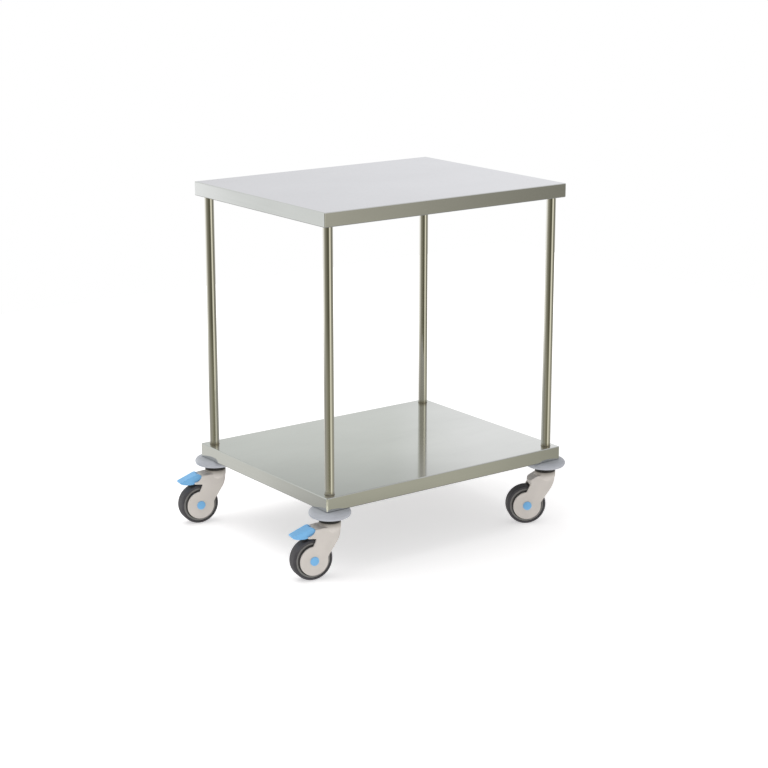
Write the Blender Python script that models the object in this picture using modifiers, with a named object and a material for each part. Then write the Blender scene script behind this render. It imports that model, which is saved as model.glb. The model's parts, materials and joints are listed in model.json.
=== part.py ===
"""Instrument table: two folded steel trays on four tube legs, carried by four swivel castors.

Units are metres, +Z is up. The floor is at Z = 0 and the origin lies on it under the middle of the
table, whose long side runs along X. The two castors at the -X end have a brake pedal. Each castor is
drawn in its own frame: X points the way its wheel trails, Y runs along the axle, and the origin is on
the swivel axis at the height of the axle. A pedal is drawn from its own pivot.
"""

import math
from typing import NamedTuple

import bmesh
import bpy
from mathutils import Matrix, Vector
from mathutils.geometry import interpolate_bezier

# Trays
TABLE_LENGTH = 0.720
TABLE_WIDTH = 0.565
TABLE_HEIGHT = 0.875
TRAY_DEPTH = 0.0345
SHEET = 0.0012
FOLD_INSIDE_RADIUS = 0.0008
FLANGE_WIDTH = 0.011
FLANGE_CLEARANCE = 0.001

# Legs, and what is at their ends
LEG_DIAMETER = 0.024
LEG_WALL = 0.0015
WELD_SIZE = 0.0015
SPIGOT_LENGTH = 0.025
SPIGOT_CHAMFER = 0.0015
PLATE_SIZE = 0.060
PLATE_THICKNESS = 0.003
PLATE_CLEARANCE = 0.002
INSERT_LENGTH = 0.028
INSERT_RECESS = 0.002
BUSH_LIP = 0.001

# Hat-section stiffener under each tray
STIFFENER_TOP = 0.030
STIFFENER_FOOT = 0.014
STIFFENER_DEPTH = 0.015
STIFFENER_SHEET = 0.0012
STIFFENER_END_GAP = 0.010

# Castor stem, race and bumper
STEM_DIAMETER = 0.012
STEM_GRIP = 0.022
BUMPER_DIAMETER = 0.102
BUMPER_HEIGHT = 0.0176
BUMPER_TOP_DIAMETER = 0.072
BUMPER_FOOT_DIAMETER = 0.080
RACE_DIAMETER = 0.052
RACE_HEIGHT = 0.012
PIVOT_DIAMETER = 0.016
PIVOT_LENGTH = 0.022
PIVOT_BUTTON = 0.002
PIVOT_BUTTON_HEIGHT = 0.004

# Wheel
WHEEL_DIAMETER = 0.100
TYRE_WIDTH = 0.032
TYRE_SHOULDER = 0.005
TREAD = 0.0065
RIM_RECESS = 0.0015
RIM_WALL = 0.006
HUB_WEB = 0.010
HUB_BOSS_DIAMETER = 0.022
AXLE_DIAMETER = 0.012
TRAIL = 0.0495

# Fork
TYRE_SIDE_GAP = 0.002
CHEEK = 0.0045
CROWN_HEIGHT = 0.0325
WHEEL_CLEARANCE = 0.004
HEAD_DIAMETER = 0.053
HEAD_HEIGHT = 0.0145
HEAD_TAPER = 0.008
HEAD_CHAMFER = 0.001
ARM_RECESS = 0.001
ARM_FRONT = 0.022
ARM_SHOULDER = 0.022
ARM_LEAN = 0.003
ARM_SWEEP = 0.012
ARM_FOOT_SWEEP = 0.020
DISC_DIAMETER = 0.072
DISC_LEAD_ANGLE = 170
DISC_REAR_ANGLE = 87
HOOD_REACH = 0.046
HOOD_ROOT = 0.022
HOOD_RECESS = 0.0075
HOOD_LIP = 0.006
HOOD_CURVE = 0.008
HOOD_SLOPE = 0.004
NOTCH_DEPTH = 0.003
FORK_EDGE = 0.002
CAP_DIAMETER = 0.022
CAP_HEIGHT = 0.002
CAP_RIM = 0.0008

# Brake
PEDAL_WIDTH = 0.034
PEDAL_TIP_WIDTH = 0.026
PEDAL_LENGTH = 0.0495
PEDAL_ROOT_DIAMETER = 0.021
PEDAL_TIP_DIAMETER = 0.006
PEDAL_TIP_DROP = 0.0075
PEDAL_ROOT_ARC = (72, 260)
PEDAL_TIP_ARC = (-80, 72)
PEDAL_BELLY = 0.018
PEDAL_BELLY_LEAD = 0.010
PEDAL_BELLY_TAIL = 0.0135
PEDAL_EDGE = 0.003
PEDAL_PLAY = 0.0008
PEDAL_SET_BACK = 0.008
PEDAL_TYRE_GAP = 0.0095
PEDAL_PRESS = math.radians(10)
TONGUE_WIDTH = 0.014
TONGUE_WALL = 0.0035
PEDAL_PIN_DIAMETER = 0.006
HOOD_EDGE = 0.001
HOOD_EDGE_ANGLE = math.radians(145)
LIP_REACH = 0.011
LIP_HEIGHT = 0.006
BRAKE_PAD_WIDTH = 0.022
BRAKE_PAD_LENGTH = 0.012
BRAKE_PAD_THICKNESS = 0.008
BRAKE_PAD_GAP = 0.0005
BRAKE_PAD_WALL = 0.0015

# Clearance between pieces that touch, and how far a cutter passes the wall that it cuts
GAP = 0.0003
OVERCUT = 0.002

# Sides of round pieces, and steps along a curve
SIDES_LARGE = 24
SIDES_TUBE = 20
SIDES_PIVOT = 16
SIDES_SMALL = 12
SIDES_FINE = 8
CURVE_STEPS = 5


class Corner(NamedTuple):
    """A leg and its castor: which way it lies from the middle, and which way the wheel trails."""

    name: str
    side_x: int
    side_y: int
    heading: float
    turn: float
    braked: bool

    @property
    def place(self):
        return self.side_x * LEG_X, self.side_y * LEG_Y


CORNERS = (
    Corner("front_left", -1, -1, math.radians(169), math.radians(0), True),
    Corner("back_left", -1, 1, math.radians(170), math.radians(270), True),
    Corner("front_right", 1, -1, math.radians(152), math.radians(90), False),
    Corner("back_right", 1, 1, math.radians(10), math.radians(180), False),
)

# Radii and widths that follow from the sizes above
FOLD_RADIUS = FOLD_INSIDE_RADIUS + SHEET
LEG_RADIUS = LEG_DIAMETER / 2
LEG_BORE = LEG_RADIUS - LEG_WALL
WELD_RADIUS = LEG_RADIUS + WELD_SIZE
BUSH_RADIUS = LEG_RADIUS + BUSH_LIP
STEM_RADIUS = STEM_DIAMETER / 2
WHEEL_RADIUS = WHEEL_DIAMETER / 2
RIM_RADIUS = WHEEL_RADIUS - TREAD
RIM_WIDTH = TYRE_WIDTH - 2 * RIM_RECESS
AXLE_RADIUS = AXLE_DIAMETER / 2
SLOT_RADIUS = WHEEL_RADIUS + WHEEL_CLEARANCE
SLOT_WIDTH = TYRE_WIDTH + 2 * TYRE_SIDE_GAP
FORK_WIDTH = SLOT_WIDTH + 2 * CHEEK
HEAD_RADIUS = HEAD_DIAMETER / 2
ARM_RADIUS = HEAD_RADIUS - ARM_RECESS
DISC_RADIUS = DISC_DIAMETER / 2
PIN_RADIUS = PEDAL_PIN_DIAMETER / 2
TONGUE_RADIUS = PIN_RADIUS + TONGUE_WALL
ROOT_RADIUS = PEDAL_ROOT_DIAMETER / 2
ROOT_BAY = ROOT_RADIUS + PEDAL_PLAY
TIP_RADIUS = PEDAL_TIP_DIAMETER / 2

# Places of the legs, which stand just inside the flanges
LEG_INSET = FLANGE_WIDTH + FLANGE_CLEARANCE + max(WELD_RADIUS, BUSH_RADIUS)
LEG_X = TABLE_LENGTH / 2 - LEG_INSET
LEG_Y = TABLE_WIDTH / 2 - LEG_INSET

# Heights above the axle
FORK_RISE = SLOT_RADIUS + CROWN_HEIGHT
RACE_FOOT = FORK_RISE + GAP
RACE_TOP = RACE_FOOT + RACE_HEIGHT
BUMPER_FOOT = RACE_TOP + GAP
TRAY_FOOT = BUMPER_FOOT + BUMPER_HEIGHT + GAP
HOOD_FOOT = math.sqrt(SLOT_RADIUS**2 - (HOOD_REACH - TRAIL) ** 2) + HOOD_LIP
PEDAL_PIVOT = Vector((HOOD_REACH + PEDAL_SET_BACK, WHEEL_RADIUS + PEDAL_TYRE_GAP + ROOT_RADIUS))

# Heights above the floor
SHELF_Z = WHEEL_RADIUS + TRAY_FOOT + TRAY_DEPTH
LEG_FOOT_Z = SHELF_Z + GAP
PLATE_Z = TABLE_HEIGHT - SHEET - GAP - PLATE_THICKNESS
LEG_LENGTH = PLATE_Z - GAP - LEG_FOOT_Z

# Colour, roughness and metallic value of each finish
FINISHES = {
    "brushed_steel": ((0.62, 0.63, 0.61), 0.32, 1.0),
    "polished_tube": ((0.55, 0.54, 0.50), 0.20, 1.0),
    "plated_steel": ((0.50, 0.50, 0.50), 0.35, 1.0),
    "bumper_grey": ((0.42, 0.44, 0.46), 0.45, 0.0),
    "race_black": ((0.03, 0.03, 0.03), 0.50, 0.0),
    "housing_beige": ((0.62, 0.57, 0.52), 0.45, 0.0),
    "rim_grey": ((0.22, 0.21, 0.19), 0.50, 0.0),
    "tyre_grey": ((0.07, 0.07, 0.07), 0.75, 0.0),
    "brake_blue": ((0.20, 0.45, 0.78), 0.40, 0.0),
    "pad_black": ((0.02, 0.02, 0.02), 0.85, 0.0),
}


def clear_scene():
    for obj in list(bpy.data.objects):
        bpy.data.objects.remove(obj, do_unlink=True)


def make_collection(name):
    collection = bpy.data.collections.new(name)
    bpy.context.scene.collection.children.link(collection)


def make_materials():
    for name, (colour, roughness, metallic) in FINISHES.items():
        material = bpy.data.materials.new(name)
        material.use_nodes = True
        shader = material.node_tree.nodes["Principled BSDF"]
        shader.inputs["Base Color"].default_value = (*colour, 1.0)
        shader.inputs["Roughness"].default_value = roughness
        shader.inputs["Metallic"].default_value = metallic


# Radii of round pieces that fit together, whose sides are flat


def bore_round(radius, sides):
    """The radius of a hole whose flats clear a round piece."""
    return (radius + GAP) / math.cos(math.pi / sides)


def plug_in(radius, sides):
    """The radius of a round piece that clears the flats of a hole."""
    return radius * math.cos(math.pi / sides) - GAP


# Points in a plane


def arc(centre, radius, start, end, sides):
    """Points on a circle, from one angle in degrees to another."""
    return ellipse(centre, radius, radius, start, end, sides)


def ellipse(centre, radius_x, radius_z, start, end, sides):
    """Points on an ellipse, from one angle in degrees to another. A full turn would have these sides."""
    steps = round(sides * abs(end - start) / 360)
    points = []
    for i in range(steps + 1):
        angle = math.radians(start + (end - start) * i / steps)
        points.append((centre[0] + radius_x * math.cos(angle), centre[1] + radius_z * math.sin(angle)))
    return points


def bezier(start, start_handle, end_handle, end):
    """Points along one cubic curve."""
    knots = [Vector((*point, 0.0)) for point in (start, start_handle, end_handle, end)]
    return [(point.x, point.y) for point in interpolate_bezier(*knots, CURVE_STEPS + 1)]


def mirrored(half):
    """A turned profile's upper half, followed by the same points below the middle."""
    return half + [(radius, -height) for radius, height in reversed(half)]


# Ways of making a mesh


def helper(data):
    """A guide object, left out of the part."""
    obj = bpy.data.objects.new("guide", data)
    obj.hide_render = True
    obj.display_type = "WIRE"
    bpy.data.collections["cutters"].objects.link(obj)
    return obj


def baked(obj):
    """The object as its modifiers leave it, as one welded mesh. The object itself is removed."""
    graph = bpy.context.evaluated_depsgraph_get()
    mesh = bpy.data.meshes.new_from_object(obj.evaluated_get(graph))
    bpy.data.objects.remove(obj, do_unlink=True)
    shape = bmesh.new()
    shape.from_mesh(mesh)
    bmesh.ops.remove_doubles(shape, verts=shape.verts, dist=1e-6)
    shape.to_mesh(mesh)
    shape.free()
    return mesh


def to_mesh(shape):
    mesh = bpy.data.meshes.new("mesh")
    shape.to_mesh(mesh)
    shape.free()
    return mesh


def turned(profile, sides, ring=True):
    """A shape turned about Z from (radius, height) points that run down its outer side.

    A ring's profile is a closed loop. Otherwise it starts and ends on the axis.
    """
    mesh = bpy.data.meshes.new("profile")
    last = len(profile) - 1
    edges = [(i, i + 1) for i in range(last)]
    if ring:
        edges.append((last, 0))
    mesh.from_pydata([(radius, 0.0, height) for radius, height in profile], edges, [])
    obj = helper(mesh)
    screw = obj.modifiers.new("Turn", "SCREW")
    screw.steps = sides
    screw.render_steps = sides
    screw.use_merge_vertices = True
    screw.merge_threshold = 1e-5
    return baked(obj)


def cylinder(radius, low, high, sides):
    """A solid cylinder on Z between two heights."""
    shape = bmesh.new()
    middle = Matrix.Translation((0.0, 0.0, (low + high) / 2))
    bmesh.ops.create_cone(
        shape,
        cap_ends=True,
        segments=sides,
        radius1=radius,
        radius2=radius,
        depth=high - low,
        matrix=middle,
    )
    return to_mesh(shape)


def box(low, high):
    """A box between two corners."""
    size = Vector(high) - Vector(low)
    middle = (Vector(high) + Vector(low)) / 2
    shape = bmesh.new()
    matrix = Matrix.Translation(middle) @ Matrix.Diagonal((*size, 1.0))
    bmesh.ops.create_cube(shape, size=1.0, matrix=matrix)
    return to_mesh(shape)


def extruded(outline, width):
    """A flat outline of (x, z) points given a width along Y, centred on Y = 0."""
    curve = bpy.data.curves.new("outline", "CURVE")
    curve.dimensions = "2D"
    curve.fill_mode = "BOTH"
    curve.extrude = width / 2
    spline = curve.splines.new("POLY")
    spline.points.add(len(outline) - 1)
    for point, (x, z) in zip(spline.points, outline):
        point.co = (x, z, 0.0, 1.0)
    spline.use_cyclic_u = True
    mesh = baked(helper(curve))
    mesh.transform(Matrix.Rotation(math.radians(90), 4, "X"))
    return mesh


def moved(mesh, x=0.0, y=0.0, z=0.0):
    mesh.transform(Matrix.Translation((x, y, z)))
    return mesh


def along_y(mesh):
    """Turns a shape made about Z so that its axis lies along Y."""
    mesh.transform(Matrix.Rotation(math.radians(-90), 4, "X"))
    return mesh


def rounded(mesh, width, segments):
    """The mesh with its right-angled edges rounded."""
    obj = helper(mesh)
    bevel = obj.modifiers.new("Round", "BEVEL")
    bevel.width = width
    bevel.segments = segments
    bevel.limit_method = "ANGLE"
    bevel.angle_limit = math.radians(60)
    return baked(obj)


def combined(base, *steps):
    """The base mesh after each (operation, mesh) Boolean in turn."""
    body = helper(base)
    tools = []
    for operation, mesh in steps:
        tool = helper(mesh)
        tools.append(tool)
        modifier = body.modifiers.new(operation.title(), "BOOLEAN")
        modifier.operation = operation
        modifier.solver = "EXACT"
        modifier.object = tool
    mesh = baked(body)
    for tool in tools:
        bpy.data.objects.remove(tool, do_unlink=True)
    return mesh


def finished(mesh, finish):
    """The mesh with its finish, and smooth where it is round."""
    mesh.shade_smooth()
    mesh.set_sharp_from_angle(angle=math.radians(35))
    mesh.materials.clear()
    mesh.materials.append(bpy.data.materials[finish])
    return mesh


# Placing pieces


def place(name, mesh, parent, location=(0.0, 0.0, 0.0), turn=0.0):
    """One named sub-part under an empty."""
    obj = bpy.data.objects.new(name, mesh)
    bpy.data.collections["instrument_table"].objects.link(obj)
    obj.parent = parent
    obj.location = location
    obj.rotation_euler.z = turn
    return obj


def empty(name, parent=None, location=(0.0, 0.0, 0.0), turn=0.0):
    """A point that pieces hang from, such as one on a joint's axis."""
    return place(name, None, parent, location, turn)


# Trays


def tray_mesh(stem_holes):
    """A folded sheet with a downturned apron and a flange turned in along its lower edge.

    Its upper face is at Z = 0.
    """
    shape = bmesh.new()
    size = Matrix.Diagonal((TABLE_LENGTH, TABLE_WIDTH, TRAY_DEPTH, 1.0))
    drop = Matrix.Translation((0.0, 0.0, -TRAY_DEPTH / 2))
    bmesh.ops.create_cube(shape, size=1.0, matrix=drop @ size)
    bottom = min(shape.faces, key=lambda face: face.calc_center_median().z)
    bmesh.ops.delete(shape, geom=[bottom], context="FACES_ONLY")
    rim = [edge for edge in shape.edges if edge.is_boundary]
    flange = bmesh.ops.extrude_edge_only(shape, edges=rim)["geom"]
    for vertex in (item for item in flange if isinstance(item, bmesh.types.BMVert)):
        vertex.co.x -= math.copysign(FLANGE_WIDTH, vertex.co.x)
        vertex.co.y -= math.copysign(FLANGE_WIDTH, vertex.co.y)
    bmesh.ops.recalc_face_normals(shape, faces=shape.faces)
    obj = helper(to_mesh(shape))
    bevel = obj.modifiers.new("Folds", "BEVEL")
    bevel.width = FOLD_RADIUS
    bevel.segments = 2
    bevel.limit_method = "ANGLE"
    solidify = obj.modifiers.new("Sheet", "SOLIDIFY")
    solidify.thickness = SHEET
    solidify.offset = -1.0
    solidify.use_even_offset = True
    mesh = baked(obj)
    if stem_holes:
        mesh = combined(mesh, *[("DIFFERENCE", stem_hole_mesh(corner)) for corner in CORNERS])
    return mesh


def stem_hole_mesh(corner):
    """What is cut from the shelf for a castor's stem."""
    radius = bore_round(STEM_RADIUS, SIDES_SMALL)
    hole = cylinder(radius, -SHEET - OVERCUT, OVERCUT, SIDES_SMALL)
    return moved(hole, *corner.place)


def stiffener_mesh():
    """A hat section along X, open at its ends, with its two feet against the tray at Z = 0."""
    crown = STIFFENER_TOP / 2
    foot = crown + STIFFENER_FOOT
    top = -STIFFENER_SHEET
    low = -STIFFENER_DEPTH
    half = [(foot, 0.0), (crown - STIFFENER_SHEET, 0.0), (crown - STIFFENER_SHEET, low + STIFFENER_SHEET)]
    under = [(crown, low), (crown, top), (foot, top)]
    inside = half + [(-y, z) for y, z in reversed(half)]
    outside = [(-y, z) for y, z in reversed(under)] + under
    length = TABLE_LENGTH - 2 * (SHEET + FLANGE_WIDTH + STIFFENER_END_GAP)
    mesh = extruded(inside + outside, length)
    mesh.transform(Matrix.Rotation(math.radians(90), 4, "Z"))
    return mesh


def build_trays(table):
    top = finished(tray_mesh(stem_holes=False), "brushed_steel")
    shelf = finished(tray_mesh(stem_holes=True), "brushed_steel")
    stiffener = finished(stiffener_mesh(), "brushed_steel")
    under = SHEET + GAP
    place("top_tray", top, table, (0.0, 0.0, TABLE_HEIGHT))
    place("top_stiffener", stiffener, table, (0.0, 0.0, TABLE_HEIGHT - under))
    place("bottom_shelf", shelf, table, (0.0, 0.0, SHELF_Z))
    place("bottom_stiffener", stiffener, table, (0.0, 0.0, SHELF_Z - under))


# Legs


def sleeve_mesh(outer, inner, height, sides):
    """A plain ring standing on Z = 0."""
    return turned([(outer, height), (outer, 0.0), (inner, 0.0), (inner, height)], sides)


def leg_mesh():
    """A tube with a fillet weld round its foot."""
    profile = [
        (LEG_RADIUS, LEG_LENGTH),
        (LEG_RADIUS, WELD_SIZE),
        (WELD_RADIUS, 0.0),
        (LEG_BORE, 0.0),
        (LEG_BORE, LEG_LENGTH),
    ]
    return turned(profile, SIDES_TUBE)


def spigot_plate_mesh():
    """A square plate under a corner of the top, with the spigot that the leg slides over."""
    near = PLATE_CLEARANCE + SHEET - LEG_INSET
    far = near + PLATE_SIZE
    plate = box((near, near, 0.0), (far, far, PLATE_THICKNESS))
    radius = plug_in(LEG_BORE, SIDES_TUBE)
    profile = [
        (0.0, PLATE_THICKNESS / 2),
        (radius, PLATE_THICKNESS / 2),
        (radius, SPIGOT_CHAMFER - SPIGOT_LENGTH),
        (radius - SPIGOT_CHAMFER, -SPIGOT_LENGTH),
        (0.0, -SPIGOT_LENGTH),
    ]
    return combined(plate, ("UNION", turned(profile, SIDES_SMALL, ring=False)))


def build_legs(table):
    leg = finished(leg_mesh(), "polished_tube")
    plate = finished(spigot_plate_mesh(), "plated_steel")
    bore = bore_round(STEM_RADIUS, SIDES_SMALL)
    plug = plug_in(LEG_BORE, SIDES_TUBE)
    insert = finished(sleeve_mesh(plug, bore, INSERT_LENGTH, SIDES_SMALL), "plated_steel")
    bush_height = TRAY_DEPTH - SHEET - GAP
    bush = finished(sleeve_mesh(BUSH_RADIUS, bore, bush_height, SIDES_SMALL), "plated_steel")
    for corner in CORNERS:
        x, y = corner.place
        place(f"leg_{corner.name}", leg, table, (x, y, LEG_FOOT_Z))
        place(f"spigot_plate_{corner.name}", plate, table, (x, y, PLATE_Z), corner.turn)
        place(f"leg_insert_{corner.name}", insert, table, (x, y, LEG_FOOT_Z + INSERT_RECESS))
        place(f"corner_bush_{corner.name}", bush, table, (x, y, SHELF_Z - TRAY_DEPTH))


# What stays with the table at the top of a castor


def stem_mesh():
    """Threaded stem, upper race, and swivel pivot with the button that holds it in the fork."""
    pivot = PIVOT_DIAMETER / 2
    button = pivot + PIVOT_BUTTON
    top = TRAY_FOOT + TRAY_DEPTH + GAP + STEM_GRIP
    foot = FORK_RISE - PIVOT_LENGTH
    button_top = foot + PIVOT_BUTTON_HEIGHT
    profile = [
        (0.0, top),
        (STEM_RADIUS, top),
        (STEM_RADIUS, RACE_TOP),
        (RACE_DIAMETER / 2, RACE_TOP),
        (RACE_DIAMETER / 2, RACE_FOOT),
        (pivot, RACE_FOOT),
        (pivot, button_top),
        (button, button_top),
        (button, foot),
        (0.0, foot),
    ]
    return turned(profile, SIDES_PIVOT, ring=False)


def bumper_mesh():
    """A disc with a round rim and a slightly domed top, which keeps the castor off walls."""
    rim = BUMPER_DIAMETER / 2
    top = BUMPER_TOP_DIAMETER / 2
    foot = BUMPER_FOOT_DIAMETER / 2
    bore = bore_round(STEM_RADIUS, SIDES_LARGE)
    middle = BUMPER_HEIGHT / 2
    upper = ellipse((top, middle), rim - top, middle, 90, 0, SIDES_PIVOT)
    lower = ellipse((foot, middle), rim - foot, middle, 0, -90, SIDES_SMALL)
    profile = upper + lower[1:] + [(bore, 0.0), (bore, BUMPER_HEIGHT)]
    return moved(turned(profile, SIDES_LARGE), z=BUMPER_FOOT)


# Fork


def fork_outline(braked):
    """The side of the fork: a curved arm from the neck to a disc round the axle, and a hood."""
    disc = arc((TRAIL, 0.0), DISC_RADIUS, DISC_LEAD_ANGLE, 360 + DISC_REAR_ANGLE, SIDES_PIVOT)
    shoulder = FORK_RISE - ARM_SHOULDER
    front = bezier(
        (-ARM_FRONT, shoulder),
        (-ARM_FRONT + ARM_LEAN, shoulder - ARM_SWEEP),
        (disc[0][0] - ARM_SWEEP, disc[0][1] + ARM_FOOT_SWEEP),
        disc[0],
    )
    neck = (-ARM_FRONT, FORK_RISE - HEAD_HEIGHT)
    notch = (HOOD_REACH - NOTCH_DEPTH, HOOD_FOOT - HOOD_LIP)
    hood = braked_hood(notch) if braked else plain_hood()
    return [neck] + front + disc[1:] + [notch] + hood


def plain_hood():
    """The short hood over a wheel with no brake."""
    root = (HOOD_ROOT, FORK_RISE - HOOD_RECESS)
    return bezier(
        (HOOD_REACH, HOOD_FOOT),
        (HOOD_REACH, HOOD_FOOT + HOOD_CURVE),
        (HOOD_ROOT + HOOD_CURVE, root[1] - HOOD_SLOPE),
        root,
    )


def braked_hood(notch):
    """A lip below the pedal's root, and a hood that ends in a thin edge above it."""
    lip = PEDAL_PIVOT.x + LIP_REACH
    reach = ROOT_BAY + HOOD_EDGE
    edge = (
        PEDAL_PIVOT.x + reach * math.cos(HOOD_EDGE_ANGLE),
        PEDAL_PIVOT.y + reach * math.sin(HOOD_EDGE_ANGLE),
    )
    root = (HOOD_ROOT, FORK_RISE - HOOD_RECESS)
    return [(lip, notch[1]), (lip, notch[1] + LIP_HEIGHT), tuple(PEDAL_PIVOT), edge, root]


def plan_mesh():
    """The fork's plan, which rounds the arm in front of the swivel axis."""
    back = TRAIL + DISC_RADIUS + OVERCUT
    front = arc((0.0, 0.0), ARM_RADIUS, 90, 270, SIDES_TUBE)
    mesh = extruded([*front, (back, -ARM_RADIUS), (back, ARM_RADIUS)], 2 * (FORK_RISE + OVERCUT))
    mesh.transform(Matrix.Rotation(math.radians(-90), 4, "X"))
    return mesh


def head_mesh():
    """The round head of the fork, under the race."""
    foot = FORK_RISE - HEAD_HEIGHT
    profile = [
        (0.0, FORK_RISE),
        (HEAD_RADIUS - HEAD_CHAMFER, FORK_RISE),
        (HEAD_RADIUS, FORK_RISE - HEAD_CHAMFER),
        (HEAD_RADIUS, foot),
        (FORK_WIDTH / 2 - HEAD_CHAMFER, foot - HEAD_TAPER),
        (0.0, foot - HEAD_TAPER),
    ]
    return turned(profile, SIDES_TUBE, ring=False)


def pivot_bore_mesh():
    """What is cut from the head for the swivel pivot and its button."""
    bore = bore_round(PIVOT_DIAMETER / 2, SIDES_PIVOT)
    pocket = bore + PIVOT_BUTTON
    foot = FORK_RISE - PIVOT_LENGTH - GAP
    pocket_top = foot + PIVOT_BUTTON_HEIGHT + 2 * GAP
    profile = [
        (0.0, FORK_RISE + OVERCUT),
        (bore, FORK_RISE + OVERCUT),
        (bore, pocket_top),
        (pocket, pocket_top),
        (pocket, foot),
        (0.0, foot),
    ]
    return turned(profile, SIDES_PIVOT, ring=False)


def axle_hole_mesh():
    """What is cut from both cheeks for the axle."""
    end = FORK_WIDTH / 2 + OVERCUT
    radius = bore_round(AXLE_RADIUS, SIDES_SMALL)
    return moved(along_y(cylinder(radius, -end, end, SIDES_SMALL)), x=TRAIL)


def tongue_mesh():
    """The narrow lug that carries the pedal's pin."""
    low = PEDAL_PIVOT.y - TONGUE_RADIUS
    high = PEDAL_PIVOT.y + TONGUE_RADIUS
    outline = [(HOOD_ROOT, high), (HOOD_ROOT, low), *arc(PEDAL_PIVOT, TONGUE_RADIUS, -90, 90, SIDES_SMALL)]
    return extruded(outline, TONGUE_WIDTH)


def at_pedal_pivot(radius, sides):
    """A cylinder along Y through the pedal's pivot, wider than the fork."""
    return moved(
        along_y(cylinder(radius, -FORK_WIDTH, FORK_WIDTH, sides)),
        x=PEDAL_PIVOT.x,
        z=PEDAL_PIVOT.y,
    )


def pedal_bay_mesh():
    """What is cut from between the cheeks, below the pivot, so that the pedal can swing."""
    half = PEDAL_WIDTH / 2 + PEDAL_PLAY
    low = (PEDAL_PIVOT.x - ROOT_BAY, -half, 0.0)
    high = (PEDAL_PIVOT.x + LIP_REACH + OVERCUT, half, PEDAL_PIVOT.y)
    return box(low, high)


def fork_mesh(braked):
    """The moulded fork, with its wheel slot, swivel bore and axle holes."""
    side = rounded(extruded(fork_outline(braked), FORK_WIDTH), FORK_EDGE, 1)
    slot = along_y(cylinder(SLOT_RADIUS, -SLOT_WIDTH / 2, SLOT_WIDTH / 2, 2 * SIDES_PIVOT))
    steps = [
        ("INTERSECT", plan_mesh()),
        ("UNION", head_mesh()),
        ("DIFFERENCE", moved(slot, x=TRAIL)),
    ]
    if braked:
        steps.append(("DIFFERENCE", at_pedal_pivot(ROOT_BAY, SIDES_TUBE)))
        steps.append(("DIFFERENCE", pedal_bay_mesh()))
        steps.append(("UNION", tongue_mesh()))
        steps.append(("DIFFERENCE", at_pedal_pivot(bore_round(PIN_RADIUS, SIDES_SMALL), SIDES_SMALL)))
    steps.append(("DIFFERENCE", pivot_bore_mesh()))
    steps.append(("DIFFERENCE", axle_hole_mesh()))
    return combined(side, *steps)


# Axle and wheel, about the axle's middle


def axle_mesh():
    half = FORK_WIDTH / 2
    return along_y(cylinder(AXLE_RADIUS, -half, half, SIDES_SMALL))


def cap_mesh():
    """The domed cap over the +Y end of an axle."""
    radius = CAP_DIAMETER / 2
    foot = FORK_WIDTH / 2 + GAP
    dome = ellipse((0.0, foot + CAP_RIM), radius, CAP_HEIGHT - CAP_RIM, 90, 0, SIDES_FINE)
    return along_y(turned([*dome, (radius, foot), (0.0, foot)], SIDES_PIVOT, ring=False))


def hub_mesh():
    """The wheel centre: a rim, a thin web, and a bored boss that runs between the fork's cheeks."""
    inside = RIM_RADIUS - RIM_WALL
    boss = HUB_BOSS_DIAMETER / 2
    bore = bore_round(AXLE_RADIUS, SIDES_LARGE)
    boss_end = SLOT_WIDTH / 2 - GAP
    half = [
        (bore, boss_end),
        (boss, boss_end),
        (boss, HUB_WEB / 2),
        (inside, HUB_WEB / 2),
        (inside, RIM_WIDTH / 2),
        (RIM_RADIUS, RIM_WIDTH / 2),
    ]
    return along_y(turned(mirrored(half), SIDES_LARGE))


def tyre_mesh():
    """The tread round the rim, with round shoulders."""
    half = TYRE_WIDTH / 2
    corner = (WHEEL_RADIUS - TYRE_SHOULDER, half - TYRE_SHOULDER)
    profile = [(RIM_RADIUS + GAP, half), *arc(corner, TYRE_SHOULDER, 90, 0, SIDES_FINE)]
    return along_y(turned(mirrored(profile), SIDES_LARGE))


# Brake, from the pedal's pivot


def pressed_axle():
    """Where the axle lies, seen from the pedal, once the pedal is pressed right down."""
    axle = Vector((TRAIL, 0.0)) - PEDAL_PIVOT
    cosine, sine = math.cos(PEDAL_PRESS), math.sin(PEDAL_PRESS)
    return Vector((axle.x * cosine - axle.y * sine, axle.y * cosine + axle.x * sine))


def round_pressed_tyre(clearance, width):
    """A cylinder round the tyre as the pressed pedal meets it."""
    axle = pressed_axle()
    tyre = along_y(cylinder(WHEEL_RADIUS + clearance, -width, width, 3 * SIDES_LARGE))
    return moved(tyre, x=axle.x, z=axle.y)


def pedal_outline():
    """The side of the pedal: a round root, a straight back, a full belly and a blunt tip."""
    tip = (PEDAL_LENGTH - TIP_RADIUS, -PEDAL_TIP_DROP)
    root = arc((0.0, 0.0), ROOT_RADIUS, *PEDAL_ROOT_ARC, SIDES_PIVOT)
    nose = arc(tip, TIP_RADIUS, *PEDAL_TIP_ARC, SIDES_FINE)
    belly = bezier(
        root[-1],
        (PEDAL_BELLY_LEAD, -PEDAL_BELLY),
        (PEDAL_LENGTH - PEDAL_BELLY_TAIL, -PEDAL_BELLY),
        nose[0],
    )
    return root + belly[1:-1] + nose


def tapered(mesh):
    """The pedal's leaf, drawn in from its root to the narrower tip."""
    slope = (PEDAL_TIP_WIDTH / PEDAL_WIDTH - 1) / (PEDAL_LENGTH + ROOT_RADIUS)
    for vertex in mesh.vertices:
        vertex.co.y *= 1 + slope * (vertex.co.x + ROOT_RADIUS)
    return mesh


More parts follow.
